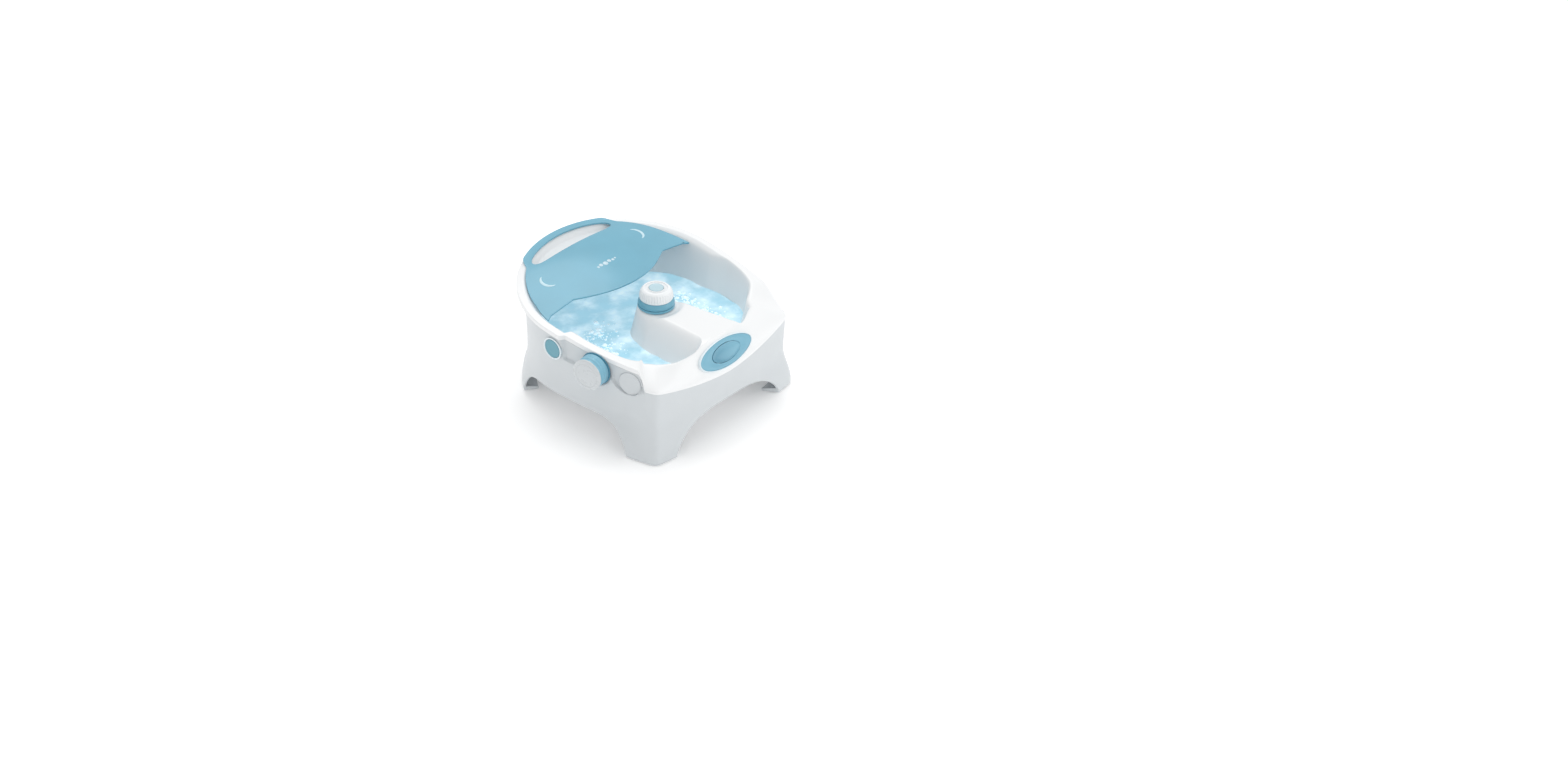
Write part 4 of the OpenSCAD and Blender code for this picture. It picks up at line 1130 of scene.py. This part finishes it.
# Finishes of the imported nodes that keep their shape: colour, roughness, metal share and nodes
NODE_FINISHES = {
    "tray_grey": (linear(214, 217, 220), 0.45, 0.0, ["base_cover"]),
    "foot_rubber": (linear(70, 72, 76), 0.75, 0.0, ["rubber_feet"]),
    "screw_steel": (linear(190, 192, 196), 0.35, 0.9, ["base_screws"]),
    "strip_blue": (linear(205, 224, 234), 0.35, 0.0, ["air_strips"]),
    "sole_pale": (linear(222, 233, 239), 0.5, 0.0, ["sole_nodes"]),
    "switch_dark": (linear(56, 60, 66), 0.5, 0.0, ["toe_switch", "thermal_cutout", "blower_casing"]),
    "bearing_brass": (linear(200, 172, 104), 0.35, 0.85, ["spindle_bearing", "motor_pinion"]),
    "seal_rubber": (linear(48, 48, 52), 0.7, 0.0, ["spindle_seal"]),
    "spindle_steel": (linear(196, 198, 202), 0.3, 0.9, ["spindle", "vibration_weight"]),
    "gear_nylon": (linear(236, 233, 220), 0.5, 0.0, ["spindle_gear", "blower_impeller"]),
    "motor_steel": (linear(172, 176, 182), 0.38, 0.85, ["drive_motor", "blower_motor", "vibration_motor"]),
    "bracket_zinc": (linear(142, 148, 154), 0.45, 0.8, ["motor_bracket", "vibration_bracket"]),
    "heater_foil": (linear(184, 174, 158), 0.4, 0.7, ["heater_plates"]),
    "duct_grey": (linear(200, 205, 210), 0.5, 0.0, ["air_manifolds"]),
    "hose_clear": (linear(194, 207, 212), 0.4, 0.0, ["air_hoses"]),
    "board_green": (linear(54, 108, 80), 0.5, 0.0, ["control_board"]),
    "gland_rubber": (linear(52, 54, 58), 0.7, 0.0, ["cord_gland"]),
}


class FOOTSPA_OT_fittings(bpy.types.Operator):
    """Finishes of the tray, feet, strips and the drive parts inside"""

    bl_idname = "footspa.fittings"
    bl_label = "Fittings"

    def execute(self, context):
        for name, (colour, rough, metal, nodes) in NODE_FINISHES.items():
            material = finish(name, colour, rough, 0.94, 1.05, scale=60, relief=0.12, metal=metal)
            for node in nodes:
                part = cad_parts[node]
                if not part.material_slots:
                    part.data.materials.append(material)
                for holder in part.material_slots:
                    holder.material = material
        return {"FINISHED"}


class FOOTSPA_OT_water(bpy.types.Operator):
    """Bath water with small bubbles, set dressing that isn't part of the basin"""

    bl_idname = "footspa.water"
    bl_label = "Water"

    def execute(self, context):
        th = np.linspace(0, 2 * math.pi, 240, endpoint=False)
        edge = plan_r(th, 24)
        rings = []
        for share in np.linspace(0, 1, 90):
            x, y = share * edge * np.cos(th), share * edge * np.sin(th)
            z = WATER_H + 0.5 * np.sin(x / 7 + 1.3 * np.sin(y / 11)) + 0.4 * np.sin(y / 6 + x / 17)
            rings.append(flat(x, y, z))
        water = make_mesh("bath_water", np.array(rings), grid_faces(len(rings), len(th)), merge=0.001)
        face_up(water)
        water.data.shade_smooth()
        water.data.materials.append(water_finish())
        bubbles()
        return {"FINISHED"}


def bubbles():
    """Clusters of small bubbles on the water, all in one mesh."""
    rng = np.random.default_rng(7)
    clusters = [(-92, -10, 46, 34, 110), (-70, 28, 40, 22, 90), (98, 6, 24, 40, 70), (100, -50, 18, 36, 60)]
    ball = bmesh.new()
    bmesh.ops.create_icosphere(ball, subdivisions=2, radius=1)
    unit = np.array([v.co[:] for v in ball.verts])
    shell = [tuple(v.index for v in f.verts) for f in ball.faces]
    ball.free()
    points, faces = [], []
    for cx, cy, wx, wy, count in clusters:
        for _ in range(count):
            x, y = rng.normal(cx, wx / 2), rng.normal(cy, wy / 2)
            if bath_z(np.array(x), np.array(y), 40.0, 0.0, 170.0) > WATER_H - 3:
                continue
            radius = float(np.clip(rng.gamma(2.2, 0.75), 0.8, 4.2))
            middle = np.array([x, y, WATER_H + 0.2 * radius])
            base = len(points) * len(unit)
            points.append(unit * np.array([radius, radius, radius * 0.75]) + middle)
            faces += [tuple(i + base for i in f) for f in shell]
    made = make_mesh("bath_bubbles", np.concatenate(points), faces)
    made.data.shade_smooth()
    material = moulded("bubble_film")
    # Painted light: the bubbles give off a little light of their own
    give_glow(material, settings().colours.film, BUBBLE_PAINTED_LIGHT)
    made.data.materials.append(material)
    return made


class FOOTSPA_OT_stage(bpy.types.Operator):
    """Pale floor, soft studio light and the camera"""

    bl_idname = "footspa.stage"
    bl_label = "Stage"

    def execute(self, context):
        stage = settings().stage
        scene = context.scene
        half = stage.floor_size / MM / 2
        line = np.linspace(-half, half, 9)
        grid = np.stack(np.meshgrid(line, line) + [np.zeros((9, 9))], -1)
        floor = make_mesh("studio_floor", grid, grid_faces(9, 9, around=False))
        face_up(floor)
        pale = finish("floor_white", (1, 1, 1), rough=0.75, low=0.99, high=1.0, scale=2, relief=0.0)
        give_glow(pale, (1, 1, 1), FLOOR_GLOW)
        floor.data.materials.append(pale)
        world = bpy.data.worlds.new("studio")
        scene.world = world
        world.use_nodes = True
        sky = world.node_tree.nodes["Background"].inputs
        sky["Color"].default_value = (1, 1, 1, 1)
        sky["Strength"].default_value = stage.sky
        soft_light("key", KEY_PLACE, KEY_SIZE, stage.key_power)
        soft_light("fill", FILL_PLACE, FILL_SIZE, stage.fill_power)
        camera = bpy.data.cameras.new("camera")
        camera.lens = stage.lens
        camera.sensor_width = 36
        camera.shift_x, camera.shift_y = CAMERA_SHIFT
        camera.clip_end = 50
        viewer = bpy.data.objects.new("camera", camera)
        scene.collection.objects.link(viewer)
        look_at(viewer, CAMERA_PLACE, CAMERA_AIM)
        scene.camera = viewer
        scene.view_settings.view_transform = "Standard"
        return {"FINISHED"}


def soft_light(name, place, size, power):
    """A square soft light that looks at the basin."""
    light = bpy.data.lights.new(name, "AREA")
    light.shape = "SQUARE"
    light.size = size
    light.energy = power
    lamp = bpy.data.objects.new(name, light)
    bpy.context.scene.collection.objects.link(lamp)
    look_at(lamp, place, (0, 0, 0.1))


def look_at(made, place, aim):
    """Puts a light or camera at place and turns it towards aim."""
    made.location = place
    made.rotation_euler = (Vector(aim) - made.location).to_track_quat("-Z", "Y").to_euler()


# ------------------------------------------------------------------ add-on


class FootSpaSettings(bpy.types.PropertyGroup):
    """All settings of the foot spa basin."""

    sizes: PointerProperty(type=MouldingSizes)
    colours: PointerProperty(type=FinishColours)
    stage: PointerProperty(type=StageSettings)


STEPS = (
    FOOTSPA_OT_bath,
    FOOTSPA_OT_housing,
    FOOTSPA_OT_hood,
    FOOTSPA_OT_toe_panel,
    FOOTSPA_OT_hub,
    FOOTSPA_OT_docks,
    FOOTSPA_OT_fittings,
    FOOTSPA_OT_water,
    FOOTSPA_OT_stage,
)


class FOOTSPA_PT_panel(bpy.types.Panel):
    """Sidebar panel with the basin's sizes, colours and steps"""

    bl_idname = "FOOTSPA_PT_panel"
    bl_label = "Foot Spa"
    bl_space_type = "VIEW_3D"
    bl_region_type = "UI"
    bl_category = "Foot Spa"

    def draw(self, context):
        groups = context.scene.foot_spa
        for group in (groups.sizes, groups.colours, groups.stage):
            box = self.layout.box()
            for name in group.__annotations__:
                box.prop(group, name)
        for step in STEPS:
            self.layout.operator(step.bl_idname)


CLASSES = (MouldingSizes, FinishColours, StageSettings, FootSpaSettings, *STEPS, FOOTSPA_PT_panel)


def register():
    for cls in CLASSES:
        bpy.utils.register_class(cls)
    bpy.types.Scene.foot_spa = PointerProperty(type=FootSpaSettings)


def unregister():
    del bpy.types.Scene.foot_spa
    for cls in reversed(CLASSES):
        bpy.utils.unregister_class(cls)


def main():
    register()
    for step in STEPS:
        group, action = step.bl_idname.split(".")
        getattr(getattr(bpy.ops, group), action)()


if __name__ == "__main__":
    main()
